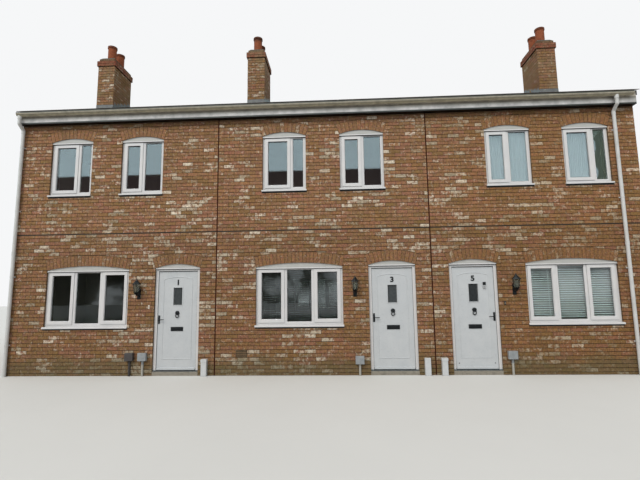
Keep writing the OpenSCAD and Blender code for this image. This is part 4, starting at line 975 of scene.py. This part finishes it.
# Net curtains in the right-hand house's upper windows, gathered on a covered wire that
# hangs from a screw eye at each side. The right one is drawn back from its fixed light.
# Woven polyester net: matt, greyish white and half clear. Its mesh is too fine to show
NET_Y, NET_TOP, NET_FOOT, WIRE_Z = 0.135, 4.8595, 3.800, 4.862
net = finish("net", mottled(["#9ba2a3", "#a5abab"], 40, 0.9))
net.node_tree.nodes["Principled BSDF"].inputs["Alpha"].default_value = 0.82
wires = bmesh.new()
for name, x, opening in (("left", 3.840, None), ("right", 5.405, 0.15)):
    bmesh.ops.create_cone(wires, cap_ends=True, segments=12, radius1=0.0025, radius2=0.0025, depth=0.900,
                          matrix=Matrix.Translation((x, NET_Y, WIRE_Z)) @ Matrix.Rotation(math.pi / 2, 4, "Y"))
    for side in (-1, 1):
        strap(wires, (x + side * 0.447, NET_Y, WIRE_Z), (1, 0, 0), 0.0028, 0.003, 0.0025, segments=16)
    bm = bmesh.new()
    bmesh.ops.create_grid(bm, x_segments=300, y_segments=64, size=0.5)
    for v in bm.verts:
        s, t = v.co.x + 0.5, 0.5 - v.co.y
        down = t * (NET_TOP - NET_FOOT)
        width = 0.880 if opening is None else 0.440 + opening + 0.25 * math.exp(-down / 0.15)
        sway = noise.noise(Vector((s * 3, t * 1.3, x))) * 0.35
        y = NET_Y + 0.0044 * math.sin(2 * math.pi * (s * 15 + 0.6 * sway)) * (0.55 + 0.45 * min(1, t * 4))
        v.co = (x - 0.440 + s * width, y, NET_TOP - down - 0.004 * noise.noise(Vector((s * 5, 0, x))) * t)
    bm.normal_update()
    area = sum(f.calc_area() for f in bm.faces)
    bmesh.ops.solidify(bm, geom=bm.faces[:], thickness=0.0005)
    for f in bm.faces:
        f.smooth = True
    made = piece(f"net_curtain_{name}", bm, net)
piece("net_wires", wires, white)


# --- Doors: leaves of pressed plastic skins over a foam core, hung on three hinges in plastic
# frames over a metal threshold. Each has an obscure light, a letter plate, a knocker, a
# lever handle and a number, screwed through the skin ---
# The skins are cool white and smooth with a soft gleam, with painted shade where they look down
LEAVES = "door_leaf_1 door_leaf_3 door_leaf_5"
dress(LEAVES, finish("door skin", mottled(["#b6babd", "#bec1c3"], 5, 0.3, 0.0001, 40, underside_shade="#2f2b27")))
soften(LEAVES, 0.0018)
# Mill-finished aluminium, a soft grey metal; and cast iron under black paint, dark and barely glossy
dress("door_thresholds", finish("threshold metal", mottled(["#8f9193", "#a8aaac"], 15, 0.35, metallic=1)))
iron = finish("black ironmongery", mottled(["#0c0c0e", "#151517"], 30, 0.45, 0.0002, 200, specular=0.35))
FURNITURE = "door_furniture_1 door_furniture_3 door_furniture_5"
dress(FURNITURE + " door_hinges wall_lanterns", iron)
soften(FURNITURE, 0.002)


def obscure(tree, shader):
    """Rolled glass with a stippled face, dark grey with soft gleams, and darker in the right-hand door.
    Its stipple is really 5 mm wide, and is drawn at 11 mm so that it shows."""
    place = add(tree, "TexCoord").outputs["Object"]
    stipple = add(tree, "TexVoronoi", {"Vector": place, "Scale": 90})
    mottle = add(tree, "TexNoise", {"Vector": place, "Scale": 25, "Detail": 5})
    x = add(tree, "SeparateXYZ", {0: place}).outputs["X"]
    far = add(tree, "Math", {0: x, 1: 2.0}, operation="GREATER_THAN")
    shade = add(tree, "Mix", {0: far, 6: linear("#4b4f50"), 7: linear("#131415")}, data_type="RGBA")
    tone = add(tree, "Mix", {0: mottle, 6: shade, 7: linear("#2b2f31")}, data_type="RGBA")
    relief = add(tree, "Bump", {"Height": stipple.outputs["Distance"], "Distance": 0.0012, "Strength": 0.7})
    feed(tree, shader, {"Base Color": tone, "Normal": relief, "Roughness": 0.22})


dress("door_light_1 door_light_3 door_light_5", finish("obscure glass", obscure))
# Moulded plastic, light grey with a satin face
satin = finish("satin plastic", mottled(["#9fa1a3", "#abadae"], 30, 0.35))
LEAF_Y, LATCH = 0.058, {1: -1, 3: -1, 5: 1}
seals = bmesh.new()
for number, x in DOORS.items():
    latch = LATCH[number]
    bm = bmesh.new()
    # Rubber round the light, a flap on the letter plate, and the lever's collar and cylinder
    border(bm, (x - 0.0905, x + 0.0905), (1.400, 1.752), 0.010, LEAF_Y - 0.0066, LEAF_Y - 0.0066, LEAF_Y - 0.0048)
    slab(bm, (x - 0.105, x + 0.105), (LEAF_Y - 0.0115, LEAF_Y - 0.0078), (0.893, 0.937), 0.0015)
    for side in (-1, 1):
        strap(bm, (x + side * 0.1185, LEAF_Y - 0.009, 0.915), (0, 1, 0), 0.0001, 0.003, 0.0045, segments=16)
    hx = x + latch * 0.378
    strap(bm, (hx, LEAF_Y - 0.0125, 1.105), (0, 1, 0), 0.0082, 0.010, 0.0055, segments=24)
    strap(bm, (hx, LEAF_Y - 0.0105, 1.052), (0, 1, 0), 0.0060, 0.006, 0.0030, segments=24)
    # Knocker: a ring hung from a lug on the boss, over a striking stud
    slab(bm, (x - 0.011, x + 0.011), (LEAF_Y - 0.030, LEAF_Y - 0.014), (1.206, 1.232), 0.004)
    single = bmesh.new()
    bar = Matrix.Translation((0.034, 0, 0)) @ Matrix.Rotation(math.pi / 2, 4, "X")
    loop = bmesh.ops.create_circle(single, cap_ends=False, segments=14, radius=0.0068, matrix=bar)["verts"]
    bmesh.ops.spin(single, geom=[*loop, *{e for v in loop for e in v.link_edges}], cent=(0, 0, 0),
                   axis=(0, 0, 1), angle=2 * math.pi, steps=40, use_merge=True)
    bmesh.ops.recalc_face_normals(single, faces=single.faces[:])
    hung = Matrix.Translation((x, LEAF_Y - 0.0185, 1.182)) @ Matrix.Rotation(math.radians(96), 4, "X")
    bmesh.ops.transform(single, matrix=hung @ Matrix.Diagonal((1.0, 1.15, 1, 1)), verts=single.verts[:])
    for f in single.faces:
        f.smooth = True
    join(bm, single)
    bmesh.ops.create_uvsphere(bm, u_segments=20, v_segments=10, radius=0.011,
                              matrix=Matrix.Translation((x, LEAF_Y - 0.005, 1.146)))
    boss = Matrix.Translation((x, LEAF_Y - 0.016, 1.242)) @ Matrix.Diagonal((0.074, 0.016, 0.078, 1))
    bmesh.ops.create_uvsphere(bm, u_segments=28, v_segments=14, radius=0.5, matrix=boss)
    piece(f"door_fittings_{number}", bm, iron, body=f"door_{number}")
    # The house number: cast figures 112 mm high, screwed on over the knocker
    text = bpy.data.curves.new(f"number_{number}", "FONT")
    text.body, text.size, text.extrude, text.offset, text.bevel_depth = str(number), 0.158, 0.002, 0.0055, 0.0006
    text.align_x = "CENTER"
    holder = bpy.data.objects.new("holder", text)
    digits = bmesh.new()
    digits.from_mesh(holder.to_mesh())
    holder.to_mesh_clear()
    bpy.data.objects.remove(holder)
    bmesh.ops.remove_doubles(digits, verts=digits.verts[:], dist=1e-6)
    low, high = min(v.co.y for v in digits.verts), max(v.co.y for v in digits.verts)
    mid = (min(v.co.x for v in digits.verts) + max(v.co.x for v in digits.verts)) / 2
    upright = Matrix(((1, 0, 0, x - mid), (0, 0, -1, LEAF_Y - 0.0028),
                      (0, 0.112 / (high - low), 0, 1.805 - low * 0.112 / (high - low)), (0, 0, 0, 1)))
    bmesh.ops.transform(digits, matrix=upright, verts=digits.verts[:])
    bmesh.ops.recalc_face_normals(digits, faces=digits.faces[:])
    piece(f"house_number_{number}", digits, iron, body=f"door_{number}")
    # The frame's own rubber, behind the lip of its stop, with a strip under its head that also paints the shade of
    # the gap over the leaf
    border(seals, (x - 0.4101, x + 0.4101), (0.1002, 2.0951), 0.0065, 0.0500, 0.0500, 0.0522)
    slab(seals, (x - 0.4035, x + 0.4035), (0.0495, 0.0522), (2.082, 2.089))
drop(seals, [f for f in seals.faces if f.calc_center_median().z < 0.1075])
bmesh.ops.holes_fill(seals, edges=[e for e in seals.edges if e.is_boundary], sides=4)
piece("door_frame_seals", seals, black_rubber)

# The right-hand door's bell camera: black glass over a satin plate with a ringed button,
# and two caps over the screws low on the leaf
bm, plate = bmesh.new(), bmesh.new()
slab(plate, (3.182, 3.244), (LEAF_Y - 0.022, LEAF_Y - 0.0002), (1.659, 1.785), 0.006, 3)
slab(bm, (3.1835, 3.2425), (LEAF_Y - 0.0235, LEAF_Y - 0.0215), (1.722, 1.7835), 0.0008)
strap(bm, (3.213, LEAF_Y - 0.0228, 1.691), (0, 1, 0), 0.0120, 0.003, 0.0030)
for side in (-1, 1):
    cap = Matrix.Translation((2.995 + side * 0.345, LEAF_Y - 0.002, 0.213)) @ Matrix.Rotation(math.pi / 2, 4, "X")
    bmesh.ops.create_cone(bm, cap_ends=True, segments=20, radius1=0.010, radius2=0.007, depth=0.004, matrix=cap)
piece("bell_camera_plate", plate, satin, body="door_5")
piece("bell_camera_glass", bm, iron, body="door_5")


# --- Lanterns: six-sided glass bodies in black iron, under a hat with a finial, on a
# curved arm from a backplate; a bulb on a candle sleeve stands inside ---
bm, panes, bulbs = bmesh.new(), bmesh.new(), bmesh.new()
for x in (-3.789, 0.646, 3.775):
    centre = Matrix.Translation((x, -0.120, 0))

    def hexagon(target, r1, r2, z1, z2, segments=6):
        """Six-sided or round step of the lantern between two heights."""
        bmesh.ops.create_cone(target, cap_ends=True, segments=segments, radius1=r1, radius2=r2, depth=z2 - z1,
                              matrix=centre @ Matrix.Translation((0, 0, (z1 + z2) / 2)))
    hexagon(bm, 0.090, 0.088, 1.826, 1.832)
    hexagon(bm, 0.086, 0.030, 1.832, 1.892)
    hexagon(bm, 0.040, 0.034, 1.890, 1.898, segments=24)
    hexagon(bm, 0.026, 0.014, 1.898, 1.916, segments=24)
    hexagon(bm, 0.004, 0.011, 1.914, 1.926, segments=16)
    hexagon(bm, 0.011, 0.001, 1.926, 1.949, segments=16)
    hexagon(bm, 0.052, 0.056, 1.662, 1.670)
    hexagon(bm, 0.034, 0.050, 1.630, 1.662, segments=24)
    hexagon(bm, 0.010, 0.030, 1.606, 1.632, segments=24)
    hexagon(bm, 0.004, 0.010, 1.588, 1.606, segments=16)
    for i in range(6):
        a = math.radians(60 * i)
        foot, top = (Vector((x + r * math.cos(a), -0.120 + r * math.sin(a), z))
                     for r, z in ((0.0515, 1.668), (0.0735, 1.828)))
        run = top - foot
        slope = Matrix.Translation((foot + top) / 2) @ run.to_track_quat("Z", "Y").to_matrix().to_4x4()
        bmesh.ops.create_cone(bm, cap_ends=True, segments=8, radius1=0.0032, radius2=0.0032,
                              depth=run.length, matrix=slope)
    single = bmesh.new()
    bmesh.ops.create_cone(single, cap_ends=False, segments=6, radius1=0.0495, radius2=0.0715, depth=0.156,
                          matrix=centre @ Matrix.Translation((0, 0, 1.748)))
    bmesh.ops.solidify(single, geom=single.faces[:], thickness=0.002)
    join(panes, single)
    hexagon(bulbs, 0.011, 0.011, 1.670, 1.725, segments=20)
    bulb = centre @ Matrix.Translation((0, 0, 1.757)) @ Matrix.Diagonal((0.036, 0.036, 0.070, 1))
    bmesh.ops.create_uvsphere(bulbs, u_segments=20, v_segments=14, radius=0.5, matrix=bulb)
    slab(bm, (x - 0.038, x + 0.038), (-0.0105, -0.0002), (1.524, 1.746), 0.005, 3)
    slab(bm, (x - 0.026, x + 0.026), (-0.0155, -0.010), (1.540, 1.730), 0.005, 3)
    # The arm: a quarter turn of bar from the plate up to the cup
    single = bmesh.new()
    root = Matrix.Translation((0, -0.015, 1.592)) @ Matrix.Rotation(math.pi / 2, 4, "X")
    loop = bmesh.ops.create_circle(single, cap_ends=True, segments=14, radius=0.0075, matrix=root)["verts"]
    spun = bmesh.ops.spin(single, geom=[*single.faces[:], *single.edges[:], *loop], cent=(0, -0.015, 1.645),
                          axis=(1, 0, 0), angle=-math.pi / 2.4, steps=14, use_merge=False)
    end = [v for v in spun["geom_last"] if isinstance(v, bmesh.types.BMVert)]
    reach = sum((v.co for v in end), Vector()) / len(end)
    for v in single.verts:
        v.co = (v.co.x + x, -0.015 + (v.co.y + 0.015) * (0.105 / (-0.015 - reach.y)), v.co.z)
    bmesh.ops.recalc_face_normals(single, faces=single.faces[:])
    join(bm, single)
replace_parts(piece("lanterns", bm, iron), "wall_lanterns")
# Thin panes, clear, smooth and dusty; opal glass bulbs on sleeves, warm white and glossy
clear_glass = finish("lantern glass", mottled(["#5f655c", "#747a70"], 20, 0.12, specular=0.6))
clear_glass.node_tree.nodes["Principled BSDF"].inputs["Alpha"].default_value = 0.32
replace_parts(piece("lantern_glass", panes, clear_glass), "wall_lanterns")
opal = finish("candle bulb", mottled(["#98917f", "#a69f8e"], 30, 0.3))
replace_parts(piece("lantern_bulbs", bulbs, opal), "wall_lanterns")


# --- Small fittings: moulded plastic meter boxes with screwed lids over short pipes, boxed-in
# pipes with collars, bell pushes beside two doors, and a fired clay air brick laid in the
# place of two stretchers ---
def box_tones(tree, shader):
    """Matt grey plastic; the left-hand box is brown, and the pipes below are pale."""
    mottled(["#7f8386", "#95999b"], 12, 0.5, 0.0003, 80)(tree, shader)
    grey = shader.inputs["Base Color"].links[0].from_socket
    axes = add(tree, "SeparateXYZ", {0: add(tree, "TexCoord").outputs["Object"]}).outputs
    left = add(tree, "Math", {0: axes["X"], 1: -3.8}, operation="LESS_THAN")
    low = add(tree, "MapRange", {"Value": axes["Z"], "From Min": 0.224, "From Max": 0.222})
    pale = add(tree, "Mix", {0: low, 6: grey, 7: linear("#a9a79f")}, data_type="RGBA")
    toned = add(tree, "Mix", {0: left, 6: pale, 7: linear("#45403f")}, data_type="RGBA")
    feed(tree, shader, {"Base Color": toned})


boxed = finish("box plastic", box_tones)
dress("service_boxes", boxed)
soften("service_boxes", 0.004)
lids, pushes, buttons = bmesh.new(), bmesh.new(), bmesh.new()
for x, z in ((-3.918, 0.379), (-3.650, 0.377), (0.711, 0.298), (3.642, 0.378)):
    slab(lids, (x - 0.0855, x + 0.0855), (-0.0835, -0.050), (z - 0.078, z + 0.078), 0.005, 3)
    for side in (-1, 1):
        strap(lids, (x + side * 0.064, -0.0840, z), (0, 1, 0), 0.0001, 0.003, 0.0055, segments=16)
    strap(lids, (x, -0.0230, 0.222 if z > 0.3 else 0.2), (0, 0, 1), 0.0215, 0.018, 0.0040, segments=24)
piece("meter_box_lids", lids, boxed)
for x, z in ((-3.570, 1.367), (3.577, 1.366)):
    slab(pushes, (x - 0.017, x + 0.017), (-0.013, -0.0002), (z - 0.038, z + 0.038), 0.005, 3)
    strap(buttons, (x, -0.0145, z), (0, 1, 0), 0.0001, 0.004, 0.0085, segments=24)


def push_tones(tree, shader):
    """Moulded plastic with a soft gleam, black on the right and yellowed white on the left."""
    mottled(["#17181a", "#1f2022"], 20, 0.4, 0.0002, 80)(tree, shader)
    black = shader.inputs["Base Color"].links[0].from_socket
    left = add(tree, "SeparateXYZ", {0: add(tree, "TexCoord").outputs["Object"]}).outputs["X"]
    left = add(tree, "Math", {0: left, 1: 0}, operation="LESS_THAN")
    toned = add(tree, "Mix", {0: left, 6: black, 7: linear("#c9bfb2")}, data_type="RGBA")
    feed(tree, shader, {"Base Color": toned})


piece("bell_pushes", pushes, finish("bell push plastic", push_tones))
piece("bell_buttons", buttons, opal)

# Painted plastic casing, pale and dull
stub = finish("boxed-in pipes", mottled(["#b9bcbd", "#c8cacb"], 12, 0.5, 0.0003, 80))
dress("pipe_stubs", stub)
soften("pipe_stubs", 0.006, 3)
bm = bmesh.new()
for x in (-2.383, 2.343):
    slab(bm, (x - 0.0605, x + 0.0605), (-0.0960, -0.0002), (0.274, 0.3298), 0.005, 3)
piece("stub_collars", bm, stub)

# The air brick: a grid of buff clay, matt and sandy, whose 27 holes show a black sheet behind them, painted shade
# for the cavity beyond
bm, dark = bmesh.new(), bmesh.new()
upright = Matrix(((0.215, 0, 0, -1.641), (0, 0, -1, -0.0070), (0, 0.140, 0, 0.4275), (0, 0, 0, 1)))
bmesh.ops.create_grid(bm, x_segments=9, y_segments=3, size=0.5, matrix=upright)
cells = bm.faces[:]
bmesh.ops.inset_individual(bm, faces=cells, thickness=0.0055, depth=0)
drop(bm, cells)
bm.normal_update()
bmesh.ops.solidify(bm, geom=bm.faces[:], thickness=0.0060)
slab(dark, (-1.747, -1.535), (-0.0012, -0.0002), (0.359, 0.496))
buff = finish("buff clay", mottled(["#6a553c", "#7c6245", "#5f5138"], 14, 0.85, 0.0008))
piece("air_brick", bm, buff)
piece("air_brick_painted_shade", dark, black_sheet)
